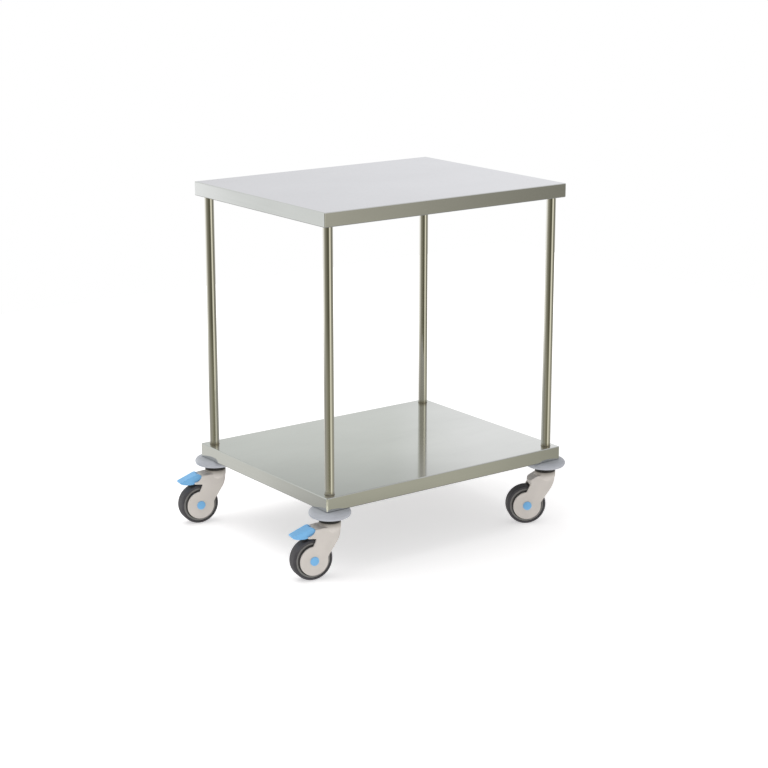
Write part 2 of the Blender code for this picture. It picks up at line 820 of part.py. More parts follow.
def pad_block(clearance):
    """The space that the brake pad takes up in the pedal, behind the tongue and open below."""
    axle = pressed_axle()
    start = TONGUE_RADIUS + PEDAL_PLAY + BRAKE_PAD_WALL
    end = start + BRAKE_PAD_LENGTH
    top = axle.y + WHEEL_RADIUS + BRAKE_PAD_THICKNESS
    half = BRAKE_PAD_WIDTH / 2 + clearance
    return box((start - clearance, -half, axle.y), (end + clearance, half, top + clearance))


def pedal_mesh():
    """The pedal, with a slot for the tongue, a pin hole and a pocket for the brake pad."""
    leaf = tapered(rounded(extruded(pedal_outline(), PEDAL_WIDTH), PEDAL_EDGE, 2))
    slot_half = TONGUE_WIDTH / 2 + GAP
    reach = ROOT_RADIUS + OVERCUT
    slot = box((-reach, -slot_half, -reach), (0.0, slot_half, reach))
    slot_end = along_y(cylinder(TONGUE_RADIUS + PEDAL_PLAY, -slot_half, slot_half, SIDES_PIVOT))
    pin_bore = bore_round(PIN_RADIUS, SIDES_SMALL)
    hole = along_y(cylinder(pin_bore, -PEDAL_WIDTH, PEDAL_WIDTH, SIDES_SMALL))
    return combined(
        leaf,
        ("DIFFERENCE", slot),
        ("DIFFERENCE", slot_end),
        ("DIFFERENCE", round_pressed_tyre(2 * BRAKE_PAD_GAP, PEDAL_WIDTH)),
        ("DIFFERENCE", pad_block(GAP)),
        ("DIFFERENCE", hole),
    )


def brake_pad_mesh():
    """The pad under the pedal, hollowed to meet the tyre when the pedal is down."""
    return combined(pad_block(0.0), ("DIFFERENCE", round_pressed_tyre(BRAKE_PAD_GAP, PEDAL_WIDTH)))


def pedal_pin_mesh():
    half = (PEDAL_WIDTH + PEDAL_TIP_WIDTH) / 4
    return along_y(cylinder(PIN_RADIUS, -half, half, SIDES_SMALL))


# Castors


def build_castors(table):
    stem = finished(stem_mesh(), "race_black")
    bumper = finished(bumper_mesh(), "bumper_grey")
    axle = finished(axle_mesh(), "plated_steel")
    cap = finished(cap_mesh(), "brake_blue")
    hub = finished(hub_mesh(), "rim_grey")
    tyre = finished(tyre_mesh(), "tyre_grey")
    plain_fork = finished(fork_mesh(braked=False), "housing_beige")
    braked_fork = finished(fork_mesh(braked=True), "housing_beige")
    for corner in CORNERS:
        name = corner.name
        castor = empty(f"castor_{name}", table, (*corner.place, WHEEL_RADIUS), corner.heading)
        place(f"castor_stem_{name}", stem, castor)
        place(f"bumper_{name}", bumper, castor)
        place(f"fork_{name}", braked_fork if corner.braked else plain_fork, castor)
        wheel = empty(f"wheel_{name}", castor, (TRAIL, 0.0, 0.0))
        place(f"axle_{name}", axle, wheel)
        place(f"axle_cap_left_{name}", cap, wheel)
        place(f"axle_cap_right_{name}", cap, wheel, turn=math.radians(180))
        place(f"wheel_hub_{name}", hub, wheel)
        place(f"tyre_{name}", tyre, wheel)


def build_brakes():
    pedal = finished(pedal_mesh(), "brake_blue")
    pin = finished(pedal_pin_mesh(), "plated_steel")
    pad = finished(brake_pad_mesh(), "pad_black")
    for corner in CORNERS:
        if not corner.braked:
            continue
        castor = bpy.data.objects[f"castor_{corner.name}"]
        pivot = empty(f"brake_{corner.name}", castor, (PEDAL_PIVOT.x, 0.0, PEDAL_PIVOT.y))
        place(f"brake_pedal_{corner.name}", pedal, pivot)
        place(f"pedal_pin_{corner.name}", pin, pivot)
        place(f"brake_pad_{corner.name}", pad, pivot)


def main():
    clear_scene()
    make_collection("instrument_table")
    make_collection("cutters")
    make_materials()
    table = empty("table")
    build_trays(table)
    build_legs(table)
    build_castors(table)
    build_brakes()


main()
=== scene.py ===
"""The looks of an instrument table, laid out as a Blender add-on and run as a script.

The first operator builds the stage, and each of the others one group of finished pieces over the CAD
frame. A castor's pieces are drawn in its own frame: X points the way its wheel trails, Y runs along the
axle, Z is up, and the origin is on the swivel axis at the height of the axle. A pedal is drawn from its
pivot. Units are metres.
"""

import json
import math
from typing import NamedTuple

import bmesh
import bpy
from bpy.props import FloatProperty, FloatVectorProperty, IntProperty, PointerProperty
from mathutils import Matrix, Vector
from mathutils.geometry import interpolate_bezier


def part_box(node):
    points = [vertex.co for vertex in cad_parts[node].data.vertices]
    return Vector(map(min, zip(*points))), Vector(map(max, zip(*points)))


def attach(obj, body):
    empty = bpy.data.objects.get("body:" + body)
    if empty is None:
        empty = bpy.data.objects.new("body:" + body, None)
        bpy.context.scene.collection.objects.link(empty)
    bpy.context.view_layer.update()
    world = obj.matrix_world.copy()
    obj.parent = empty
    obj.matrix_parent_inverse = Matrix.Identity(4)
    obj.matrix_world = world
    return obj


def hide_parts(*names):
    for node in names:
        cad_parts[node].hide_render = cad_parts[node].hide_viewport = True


bl_info = {
    "name": "Instrument table looks",
    "version": (1, 0, 0),
    "blender": (4, 5, 0),
    "location": "View3D > Sidebar > Instrument Table",
    "description": "Builds the finished pieces of an instrument table over its CAD frame",
    "category": "Object",
}

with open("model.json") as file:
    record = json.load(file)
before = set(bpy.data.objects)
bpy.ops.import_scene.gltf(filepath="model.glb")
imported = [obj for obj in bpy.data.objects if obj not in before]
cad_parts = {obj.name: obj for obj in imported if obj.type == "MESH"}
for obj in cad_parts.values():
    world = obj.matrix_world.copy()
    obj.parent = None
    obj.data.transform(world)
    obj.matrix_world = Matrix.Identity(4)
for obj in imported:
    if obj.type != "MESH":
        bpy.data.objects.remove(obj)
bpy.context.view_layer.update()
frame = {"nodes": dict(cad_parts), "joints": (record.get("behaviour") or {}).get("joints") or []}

UP = Vector((0.0, 0.0, 1.0))

# Clearance between pieces that touch, and how far a cutter passes the wall that it cuts
GAP = 0.0003
OVERCUT = 0.002

# Sides of a full turn, and steps along a curve and round a softened corner
SIDES = 72
CURVE_STEPS = 18
CORNER_STEPS = 4

# Angles past which a fold is shaded crisp, and past which an edge is rounded
CRISP_ANGLE = math.radians(32)
ROUND_ANGLE = math.radians(60)

# Distances within which points are merged, on any mesh and on the axis of a turned one
MERGE = 1e-6
AXIS_MERGE = 1e-5

# Passes that smooth a moulding, and how far each one goes
MOULD_PASSES = 4
MOULD_SHARE = 0.5


class Castor(NamedTuple):
    """A castor's corner of the table, its own frame, its trail, and where its pedal turns in that frame."""

    corner: str
    place: Matrix
    trail: float
    pedal: Vector | None


def read_castors():
    """The castors, in the order of their swivel joints."""
    joints = {joint["name"]: joint for joint in frame["joints"]}
    castors = []
    for name, swivel in joints.items():
        if not name.startswith("swivel_"):
            continue
        corner = name.removeprefix("swivel_")
        wheel = Vector(joints[f"roll_{corner}"]["pos_m"])
        origin = Vector((*swivel["pos_m"][:2], wheel.z))
        ahead = wheel - origin
        axes = Matrix((ahead.normalized(), UP.cross(ahead.normalized()), UP)).transposed()
        place = Matrix.Translation(origin) @ axes.to_4x4()
        brake = joints.get(f"brake_{corner}")
        pedal = place.inverted() @ Vector(brake["pos_m"]) if brake else None
        castors.append(Castor(corner, place, ahead.length, pedal))
    return castors


CASTORS = read_castors()
CORNERS = [castor.corner for castor in CASTORS]
BRAKED = [castor for castor in CASTORS if castor.pedal]


def length(name, description, default):
    return FloatProperty(
        name=name, description=description, default=default, min=0.0, precision=5, unit="LENGTH"
    )


def degrees(name, description, default):
    return FloatProperty(name=name, description=description, default=math.radians(default), subtype="ANGLE")


def whole(name, description, default):
    return IntProperty(name=name, description=description, default=default, min=1)


def location(name, description, default):
    return FloatVectorProperty(
        name=name, description=description, default=default, size=3, subtype="TRANSLATION", unit="LENGTH"
    )


def colour(name, description, default):
    return FloatVectorProperty(
        name=name, description=description, default=default, size=3, min=0.0, max=1.0, subtype="COLOR"
    )


class TraySettings(bpy.types.PropertyGroup):
    """Sizes of the folded trays and of their stiffeners."""

    sheet: length("Sheet", "Thickness of the sheet", 0.0012)
    fold_radius: length("Fold radius", "Outside radius of every fold", 0.002)
    corner_radius: length("Corner radius", "Outside radius of the shelf's upright corners", 0.0035)
    fold_steps: whole("Fold steps", "Flats round one fold", 6)
    flange: length("Flange", "Width of the flange turned in below the apron", 0.011)
    stem_hole: length("Stem hole", "Diameter of the holes in the shelf", 0.0126)
    spot_radius: length("Spot radius", "Radius of a spot weld on a stiffener", 0.0025)
    spot_height: length("Spot height", "How far a spot weld stands proud", 0.0003)
    spot_pitch: length("Spot pitch", "Distance between spot welds", 0.060)
    spot_inset: length("Spot inset", "From the edge of a stiffener to the middle of its welds", 0.007)


class LegSettings(bpy.types.PropertyGroup):
    """Sizes of the legs, their welds and the fittings at their ends."""

    diameter: length("Diameter", "Outside of the tube", 0.024)
    wall: length("Wall", "Thickness of the tube's wall", 0.0015)
    bead_radius: length("Bead radius", "Radius of a weld bead", 0.0009)
    bead_inset: length("Bead inset", "How far a weld's middle lies inside the tube's face", 0.0003)
    ripples: whole("Ripples", "Ripples round one weld", 34)
    stem_bore: length("Stem bore", "Bore of the inserts and bushes", 0.0126)
    bush_diameter: length("Bush", "Outside of the bushes in the shelf", 0.026)
    insert_diameter: length("Insert", "Outside of the inserts in the legs' feet", 0.0201)
    chamfer: length("Chamfer", "Chamfer on the fittings", 0.0005)


class CastorTopSettings(bpy.types.PropertyGroup):
    """Sizes of the bumpers and stems."""

    bumper_diameter: length("Bumper", "Diameter at the rim", 0.102)
    bumper_height: length("Bumper height", "Thickness in the middle", 0.0176)
    bumper_top: length("Bumper top", "Diameter of the flat on top", 0.082)
    bumper_foot: length("Bumper foot", "Diameter of the flat below", 0.086)
    bumper_seam: length("Bumper seam", "Height of the moulding seam round the rim", 0.0006)
    stem_diameter: length("Stem", "Diameter of the stem", 0.012)
    stem_grip: length("Stem grip", "How far the stem reaches into the leg", 0.022)
    race_diameter: length("Race", "Diameter of the swivel race", 0.052)
    race_height: length("Race height", "Height of the swivel race", 0.012)
    race_groove: length("Race groove", "Width and depth of the groove round the race", 0.0016)
    groove_rise: length("Groove rise", "From the foot of the race to the middle of its groove", 0.0054)
    pivot_diameter: length("Pivot", "Diameter of the swivel pivot", 0.016)
    pivot_length: length("Pivot length", "How far the pivot reaches into the fork", 0.022)
    button: length("Button", "How far the button stands out from the pivot", 0.002)
    button_height: length("Button height", "Height of the button", 0.004)
    edge: length("Edge", "Rounding of the stem's edges", 0.0008)


class ForkSettings(bpy.types.PropertyGroup):
    """Sizes of the moulded forks."""

    rise: length("Rise", "From the axle up to the top of the head", 0.0865)
    width: length("Width", "Across both cheeks", 0.045)
    slot_width: length("Slot", "Between the cheeks", 0.036)
    slot_radius: length("Slot radius", "From the axle to the roof over the wheel", 0.054)
    head_diameter: length("Head", "Diameter of the head", 0.053)
    head_height: length("Head height", "Height of the straight part of the head", 0.0145)
    head_taper: length("Head taper", "Height of the taper under the head", 0.008)
    head_edge: length("Head edge", "Rounding of the head's edges", 0.001)
    edge: length("Edge", "Rounding of the cheeks' edges", 0.0025)
    edge_steps: whole("Edge steps", "Flats round one edge of the cheeks", 3)
    arm_recess: length("Arm recess", "How far the arm's round front lies inside the head", 0.001)
    arm_front: length("Arm front", "From the swivel axis to the front of the arm", 0.022)
    arm_shoulder: length("Arm shoulder", "From the top of the head to where the arm turns in", 0.022)
    arm_lean: length("Arm lean", "How far the arm leans at its shoulder", 0.003)
    arm_sweep: length("Arm sweep", "Pull of the arm's curve at its shoulder", 0.012)
    foot_sweep: length("Foot sweep", "Pull of the arm's curve at the disc", 0.020)
    disc_diameter: length("Disc", "Diameter of the disc round the axle", 0.072)
    hood_reach: length("Hood reach", "From the swivel axis to the end of a plain hood", 0.046)
    hood_root: length("Hood root", "From the swivel axis to where the hood slopes down", 0.022)
    hood_recess: length("Hood recess", "From the top of the head down to the hood's root", 0.0075)
    hood_lip: length("Hood lip", "Thickness of the hood at its end", 0.0075)
    hood_curve: length("Hood curve", "Pull of the hood's curve", 0.0055)
    hood_slope: length("Hood slope", "Drop of the hood's curve at its root", 0.004)
    notch: length("Notch", "Depth of the notch behind the hood", 0.003)
    scoop_radius: length("Scoop radius", "Radius of the cheeks' hollow round the pedal's root", 0.019)
    scoop_back: length("Scoop back", "From the pedal's pivot back to the middle of the hollow", 0.0094)
    scoop_up: length("Scoop up", "From the pedal's pivot up to the middle of the hollow", 0.0102)
    lip_rise: length("Lip rise", "How far the lip under the pedal's root rises to its tip", 0.003)
    voxel: length("Voxel", "Grain of the moulded surface", 0.0009)


class WheelSettings(bpy.types.PropertyGroup):
    """Sizes of the wheels, axles and caps."""

    diameter: length("Diameter", "Over the tread", 0.100)
    tyre_width: length("Tyre width", "Across the tyre", 0.032)
    shoulder: length("Shoulder", "Rounding of the tyre's shoulders", 0.005)
    rim_diameter: length("Rim", "Diameter of the wheel centre", 0.087)
    rim_width: length("Rim width", "Across the rim", 0.029)
    rim_wall: length("Rim wall", "Thickness of the rim", 0.005)
    web: length("Web", "Thickness of the web", 0.010)
    boss: length("Boss", "Diameter of the boss", 0.022)
    bore: length("Bore", "Bore of the boss", 0.0126)
    hub_edge: length("Hub edge", "Rounding of the wheel centre's edges", 0.0012)
    tyre_chamfer: length("Tyre chamfer", "Chamfer of the tyre beside the rim", 0.0008)
    axle_diameter: length("Axle", "Diameter of the axle", 0.012)
    cap_diameter: length("Cap", "Diameter of the caps over the axle", 0.022)
    cap_height: length("Cap height", "How far a cap stands proud", 0.002)
    cap_rim: length("Cap rim", "Height of a cap's straight edge", 0.0008)


class BrakeSettings(bpy.types.PropertyGroup):
    """Sizes of the brake pedals."""

    width: length("Width", "Across the pedal at its root", 0.034)
    tip_width: length("Tip width", "Across the pedal at its tip", 0.026)
    length: length("Length", "From the pivot to the tip", 0.0465)
    root_diameter: length("Root", "Diameter of the round root", 0.021)
    tip_diameter: length("Tip", "Diameter of the tip", 0.006)
    tip_drop: length("Tip drop", "How far the tip lies below the pivot", 0.0082)
    belly: length("Belly", "Fullness of the pedal's underside", 0.017)
    belly_lead: length("Belly lead", "From the pivot to where the belly pulls from its root", 0.010)
    belly_tail: length("Belly tail", "From the tip to where the belly pulls from the tip", 0.0135)
    edge: length("Edge", "Rounding of the edges", 0.003)
    edge_steps: whole("Edge steps", "Flats round one edge", 4)
    play: length("Play", "Room round the root and the tongue", 0.0008)
    tongue_width: length("Tongue", "Width of the fork's lug in the pedal", 0.014)
    tongue_radius: length("Tongue radius", "Radius of the lug's end", 0.0065)
    pin_diameter: length("Pin", "Diameter of the pin", 0.006)
    voxel: length("Voxel", "Grain of the moulded surface", 0.0006)


class ColourSettings(bpy.types.PropertyGroup):
    """Colours of the finishes."""

    sheet_steel: colour("Sheet steel", "Brushed sheet of the top", (0.66, 0.665, 0.67))
    shelf_steel: colour("Shelf steel", "Brushed sheet of the shelf", (0.58, 0.59, 0.58))
    leg_tube: colour("Leg tube", "Polished tube", (0.62, 0.61, 0.58))
    weld: colour("Weld", "Weld beads, tinted by heat", (0.24, 0.22, 0.18))
    plated_steel: colour("Plated steel", "Zinc on the hidden fittings", (0.52, 0.52, 0.51))
    bumper_plastic: colour("Bumper", "Grey plastic", (0.51, 0.53, 0.575))
    race_steel: colour("Race", "Blackened steel", (0.035, 0.033, 0.031))
    fork_plastic: colour("Fork", "Warm pale grey plastic", (0.755, 0.705, 0.655))
    hub_plastic: colour("Wheel centre", "Grey plastic", (0.25, 0.245, 0.235))
    tyre_rubber: colour("Tyre", "Dark grey rubber", (0.075, 0.072, 0.078))
    brake_plastic: colour("Brake", "Light blue plastic", (0.22, 0.55, 0.93))
    pad_rubber: colour("Brake pad", "Black rubber", (0.02, 0.02, 0.02))
    floor: colour("Floor", "Pale floor", (0.92, 0.915, 0.915))


class StageSettings(bpy.types.PropertyGroup):
    """The camera, the floor and the light."""

    camera_place: location("Camera", "Where the camera stands", (-2.7674, -3.7754, 1.6092))
    camera_turn: degrees("Turn", "Heading of the camera", -36.371)
    camera_tilt: degrees("Tilt", "How far the camera looks down", 14.927)
    lens: FloatProperty(name="Lens", description="Focal length", default=89.8, min=1.0, unit="CAMERA")
    daylight: FloatProperty(name="Daylight", description="Light from all round", default=0.5, min=0.0)
    key: FloatProperty(name="Key", description="Power of the soft key light", default=45.0, unit="POWER")
    key_place: location("Key place", "Where the key light hangs", (-0.6, 0.6, 3.0))
    key_size: length("Key size", "Side of the key light", 3.0)
    floor_glow: FloatProperty(
        name="Floor glow", description="Light that lifts the shadows on the floor", default=0.50, min=0.0
    )
    floor_size: length("Floor size", "Side of the floor", 5.5)


class TableSettings(bpy.types.PropertyGroup):
    """All settings of the table."""

    trays: PointerProperty(type=TraySettings)
    legs: PointerProperty(type=LegSettings)
    tops: PointerProperty(type=CastorTopSettings)
    forks: PointerProperty(type=ForkSettings)
    wheels: PointerProperty(type=WheelSettings)
    brakes: PointerProperty(type=BrakeSettings)
    colours: PointerProperty(type=ColourSettings)
    stage: PointerProperty(type=StageSettings)


# Points in a plane


def arc(centre, radius, start, end):
    """Points on a circle, from one angle in degrees to another."""
    return ellipse(centre, radius, radius, start, end)


def ellipse(centre, radius_x, radius_z, start, end):
    """Points on an ellipse, from one angle in degrees to another."""
    steps = max(2, round(SIDES * abs(end - start) / 360))
    points = []
    for i in range(steps + 1):
        angle = math.radians(start + (end - start) * i / steps)
        points.append((centre[0] + radius_x * math.cos(angle), centre[1] + radius_z * math.sin(angle)))
    return points


def bezier(start, start_handle, end_handle, end):
    """Points along one cubic curve."""
    knots = [Vector((*point, 0.0)) for point in (start, start_handle, end_handle, end)]
    return [(point.x, point.y) for point in interpolate_bezier(*knots, CURVE_STEPS + 1)]


def softened(corners, radius):
    """A profile with each inner corner rounded, and its two ends left as they are."""
    points = [corners[0]]
    for before, corner, after in zip(corners, corners[1:], corners[2:]):
        middle = Vector(corner)
        back = Vector(before) - middle
        on = Vector(after) - middle
        reach = min(radius, back.length / 2, on.length / 2)
        start = middle + back.normalized() * reach
        end = middle + on.normalized() * reach
        for i in range(CORNER_STEPS + 1):
            share = i / CORNER_STEPS
            curve = start * (1 - share) ** 2 + middle * 2 * share * (1 - share) + end * share**2
            points.append(tuple(curve))
    points.append(corners[-1])
    return points


def mirrored(half):
    """A turned profile's upper half, followed by the same points below the middle."""
    return half + [(radius, -height) for radius, height in reversed(half)]


# Ways of making a mesh


def in_scene(name, data):
    """A new object in the scene."""
    obj = bpy.data.objects.new(name, data)
    bpy.context.scene.collection.objects.link(obj)
    return obj


def guide(data):
    """An object that only helps to make a mesh, and is removed once that is baked."""
    return in_scene("guide", data)


def add_modifier(obj, kind, **settings):
    """Gives an object a modifier with its settings."""
    modifier = obj.modifiers.new(kind.title(), kind)
    for name, value in settings.items():
        setattr(modifier, name, value)


def baked(obj):
    """The object as its modifiers leave it, as a plain mesh. The object itself is removed."""
    graph = bpy.context.evaluated_depsgraph_get()
    mesh = bpy.data.meshes.new_from_object(obj.evaluated_get(graph))
    bpy.data.objects.remove(obj, do_unlink=True)
    return mesh


def closed(mesh):
    """The mesh with its doubles merged and its faces pointing outwards."""
    shape = bmesh.new()
    shape.from_mesh(mesh)
    bmesh.ops.remove_doubles(shape, verts=shape.verts, dist=MERGE)
    bmesh.ops.recalc_face_normals(shape, faces=shape.faces)
    shape.to_mesh(mesh)
    shape.free()
    return mesh


def to_mesh(shape):
    mesh = bpy.data.meshes.new("mesh")
    shape.to_mesh(mesh)
    shape.free()
    return mesh


def turned(profile, ring=True, sides=SIDES):
    """A shape turned about Z from (radius, height) points that run down its outer side.

    A ring's profile is a closed loop. Otherwise it starts and ends on the axis.
    """
    mesh = bpy.data.meshes.new("profile")
    last = len(profile) - 1
    edges = [(i, i + 1) for i in range(last)]
    if ring:
        edges.append((last, 0))
    mesh.from_pydata([(radius, 0.0, height) for radius, height in profile], edges, [])
    obj = guide(mesh)
    merging = {"use_merge_vertices": True, "merge_threshold": AXIS_MERGE}
    add_modifier(obj, "SCREW", steps=sides, render_steps=sides, **merging)
    return closed(baked(obj))


def cylinder(radius, low, high, sides=SIDES):
    """A solid cylinder on Z between two heights."""
    shape = bmesh.new()
    middle = Matrix.Translation((0.0, 0.0, (low + high) / 2))
    sizes = {"radius1": radius, "radius2": radius, "depth": high - low}
    bmesh.ops.create_cone(shape, cap_ends=True, segments=sides, matrix=middle, **sizes)
    return to_mesh(shape)


def box(low, high):
    """A box between two corners."""
    size = Vector(high) - Vector(low)
    middle = (Vector(high) + Vector(low)) / 2
    shape = bmesh.new()
    matrix = Matrix.Translation(middle) @ Matrix.Diagonal((*size, 1.0))
    bmesh.ops.create_cube(shape, size=1.0, matrix=matrix)
    return to_mesh(shape)


def extruded(outline, width):
    """A flat outline of (x, z) points given a width along Y, centred on Y = 0."""
    curve = bpy.data.curves.new("outline", "CURVE")
    curve.dimensions = "2D"
    curve.fill_mode = "BOTH"
    curve.extrude = width / 2
    spline = curve.splines.new("POLY")
    spline.points.add(len(outline) - 1)
    for point, (x, z) in zip(spline.points, outline):
        point.co = (x, z, 0.0, 1.0)
    spline.use_cyclic_u = True
    return tipped(closed(baked(guide(curve))), 90)


def tipped(mesh, angle):
    """The mesh turned about X by an angle in degrees."""
    mesh.transform(Matrix.Rotation(math.radians(angle), 4, "X"))
    return mesh


def along_y(mesh):
    """Turns a shape made about Z so that its axis lies along Y."""
    return tipped(mesh, -90)


def rod(radius, half_width, x=0.0, z=0.0, sides=SIDES):
    """A solid cylinder along Y, centred on Y = 0, through a point."""
    mesh = along_y(cylinder(radius, -half_width, half_width, sides))
    mesh.transform(Matrix.Translation((x, 0.0, z)))
    return mesh


def turned_about(mesh):
    """A copy of the mesh, half a turn about Z."""
    copy = mesh.copy()
    copy.transform(Matrix.Rotation(math.pi, 4, "Z"))
    return copy


def rounded(mesh, width, segments):
    """The mesh with its sharp edges rounded."""
    obj = guide(mesh)
    limits = {"limit_method": "ANGLE", "angle_limit": ROUND_ANGLE}
    add_modifier(obj, "BEVEL", width=width, segments=segments, **limits)
    return closed(baked(obj))


def combined(base, *steps):
    """The base mesh after each (operation, mesh) Boolean in turn."""
    body = guide(base)
    tools = []
    for operation, mesh in steps:
        tool = guide(mesh)
        tools.append(tool)
        add_modifier(body, "BOOLEAN", operation=operation, solver="EXACT", object=tool)
    mesh = baked(body)
    for tool in tools:
        bpy.data.objects.remove(tool, do_unlink=True)
    return closed(mesh)


def moulded(mesh, voxel):
    """The mesh with every edge and inner corner softened, as in a plastic moulding."""
    obj = guide(mesh)
    add_modifier(obj, "REMESH", mode="VOXEL", voxel_size=voxel)
    add_modifier(obj, "SMOOTH", factor=MOULD_SHARE, iterations=MOULD_PASSES)
    return closed(baked(obj))


def evened(mesh):
    """The mesh with the shading of its folds led by the flats beside them."""
    obj = guide(mesh)
    add_modifier(obj, "WEIGHTED_NORMAL", keep_sharp=True)
    return baked(obj)


# Placing pieces


def piece(name, mesh, material, place=None, crisp=True, even=False):
    """A shown piece at the origin, with its place in its own mesh."""
    mesh = mesh.copy()
    if place is not None:
        mesh.transform(place)
    mesh.shade_smooth()
    if crisp:
        mesh.set_sharp_from_angle(angle=CRISP_ANGLE)
    mesh.materials.clear()
    mesh.materials.append(material)
    if even:
        mesh = evened(mesh)
    mesh.name = name
    return in_scene(name, mesh)


def stand_for(obj, body, slot, *nodes):
    """Ties a piece to its body and hides the CAD nodes that it stands for. The slot, its finish, is not
    used.
    """
    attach(obj, body)
    if nodes:
        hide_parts(*nodes)


def dress(node, material):
    """Gives a CAD node that stays in view its finish."""
    mesh = frame["nodes"][node].data
    mesh.materials.clear()
    mesh.materials.append(material)


def axis_place(node, height):
    """A place on the upright axis through the middle of a CAD node."""
    low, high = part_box(node)
    middle = (low + high) / 2
    return Matrix.Translation((middle.x, middle.y, height))


# Materials


class Finish(NamedTuple):
    """A surface, with its patches and its grain in repeats per metre and the grain's height in metres.

    Roughness is a range, and tone is how far the colour wanders. A finish along UV follows the piece's own
    UV map, and any other lies in the piece's space.
    """

    roughness: tuple
    metallic: float
    tone: float
    patches: tuple
    grain: tuple
    height: float
    along_uv: bool = False


def alike(repeats):
    return (repeats, repeats, repeats)


FINISHES = {
    "sheet_steel": Finish((0.08, 0.14), 1.0, 0.03, (3.0, 5.0, 1.0), (5.0, 900.0, 1.0), 4e-6, True),
    "shelf_steel": Finish((0.05, 0.10), 1.0, 0.04, (3.0, 5.0, 1.0), (5.0, 900.0, 1.0), 4e-6, True),
    "leg_tube": Finish((0.02, 0.05), 1.0, 0.03, (9.0, 9.0, 5.0), (500.0, 500.0, 9.0), 1e-6),
    "weld": Finish((0.16, 0.30), 1.0, 0.45, alike(160.0), alike(900.0), 6e-5),
    "plated_steel": Finish((0.28, 0.45), 1.0, 0.10, alike(60.0), alike(700.0), 1e-5),
    "bumper_plastic": Finish((0.38, 0.50), 0.0, 0.05, alike(30.0), alike(1500.0), 2e-5),
    "race_steel": Finish((0.35, 0.55), 0.3, 0.30, alike(60.0), alike(1200.0), 2e-5),
    "fork_plastic": Finish((0.36, 0.48), 0.0, 0.04, alike(25.0), alike(1500.0), 2e-5),
    "hub_plastic": Finish((0.40, 0.52), 0.0, 0.08, alike(35.0), alike(1400.0), 2e-5),
    "tyre_rubber": Finish((0.62, 0.80), 0.0, 0.18, alike(40.0), alike(1100.0), 5e-5),
    "brake_plastic": Finish((0.30, 0.42), 0.0, 0.05, alike(30.0), alike(1500.0), 1.5e-5),
    "pad_rubber": Finish((0.75, 0.90), 0.0, 0.25, alike(60.0), alike(900.0), 6e-5),
}
GRAIN_UV = "grain"

# Noise of the finishes: octaves of patches and of grain, roughness, and the range that it keeps to
PATCH_DETAIL = 3.0
GRAIN_DETAIL = 2.0
NOISE_ROUGHNESS = 0.55
NOISE_RANGE = (0.3, 0.7)

# Sockets of a Mix node: the share, the two colours, and the colour that comes out
MIX_SHARE, MIX_FIRST, MIX_SECOND = 0, 6, 7
MIX_RESULT = 2


class EndTintAndShade(NamedTuple):
    """A colour painted at the ends of a piece, for heat tint and for painted shade: its CAD node, its
    shade, and its reach from foot and top.
    """

    node: str
    shade: tuple
    foot: float
    top: float


# Heat tint beside the welds of a leg, partly painted shade where the leg meets the trays, and painted shade
# under the race of a castor
HEAT_TINTS_AND_PAINTED_SHADES = {
    # Leg: partly heat tint, partly painted shade that darkens its foot and its top
    "leg_tube": EndTintAndShade("leg", (0.30, 0.27, 0.20, 1.0), 0.010, 0.008),
    # Fork: painted shade at the top of the head, under the race
    "fork_plastic": EndTintAndShade("fork", (0.30, 0.27, 0.23, 1.0), 0.0, 0.012),
}


def add_node(tree, kind, inputs=None, **settings):
    """A new node with its settings and its inputs."""
    made = tree.nodes.new(kind)
    for name, value in settings.items():
        setattr(made, name, value)
    feed(tree, made, inputs or {})
    return made


def feed(tree, node, inputs):
    """Sets a node's sockets to values, or links them from sockets or from the first output of nodes."""
    for name, value in inputs.items():
        if isinstance(value, bpy.types.Node):
            value = value.outputs[0]
        if isinstance(value, bpy.types.NodeSocket):
            tree.links.new(value, node.inputs[name])
        else:
            node.inputs[name].default_value = value


def noise(tree, coordinates, repeats, detail):
    """Noise stretched by its repeats per metre along each axis."""
    mapping = add_node(tree, "ShaderNodeMapping", {"Vector": coordinates, "Scale": repeats})
    values = {"Vector": mapping, "Scale": 1.0, "Detail": detail, "Roughness": NOISE_ROUGHNESS}
    return add_node(tree, "ShaderNodeTexNoise", values).outputs["Fac"]


def spread(tree, value, source, target):
    """A value moved from one range to another."""
    sockets = ("Value", "From Min", "From Max", "To Min", "To Max")
    inputs = dict(zip(sockets, (value, *source, *target)))
    return add_node(tree, "ShaderNodeMapRange", inputs).outputs["Result"]


def ramp(tree, value, stops):
    """Colours along a value, from (position, colour) stops."""
    made = add_node(tree, "ShaderNodeValToRGB", {"Fac": value})
    elements = made.color_ramp.elements
    while len(elements) < len(stops):
        elements.new(1.0)
    while len(elements) > len(stops):
        elements.remove(elements[-1])
    for element, (position, shade) in zip(elements, stops):
        element.position = position
        element.color = (*shade, 1.0)
    return made.outputs["Color"]


def mixed(tree, share, first, second):
    """One colour mixed with another by a share. Each colour is a socket or a plain colour."""
    inputs = {MIX_SHARE: share, MIX_FIRST: first, MIX_SECOND: second}
    return add_node(tree, "ShaderNodeMix", inputs, data_type="RGBA").outputs[MIX_RESULT]


def patchy(tree, coordinates, repeats, detail, shades):
    """A colour that wanders between two shades in soft patches."""
    return ramp(tree, noise(tree, coordinates, repeats, detail), list(zip(NOISE_RANGE, shades)))


def ends_heat_tinted_and_shaded(tree, coordinates, tint, ends):
    """The colour, turned to another next to the foot and the top of a piece: painted shade, and heat tint
    beside welds.
    """
    low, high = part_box(f"{ends.node}_{CORNERS[0]}")
    height = add_node(tree, "ShaderNodeSeparateXYZ", {"Vector": coordinates}).outputs["Z"]
    for start, reach in ((low.z, ends.foot), (high.z, -ends.top)):
        if reach:
            share = spread(tree, height, (start, start + reach), (1.0, 0.0))
            tint = mixed(tree, share, tint, ends.shade)
    return tint


def new_material(title):
    """A new material, with its tree and its shader."""
    material = bpy.data.materials.new(title)
    material.use_nodes = True
    return material, material.node_tree, material.node_tree.nodes["Principled BSDF"]


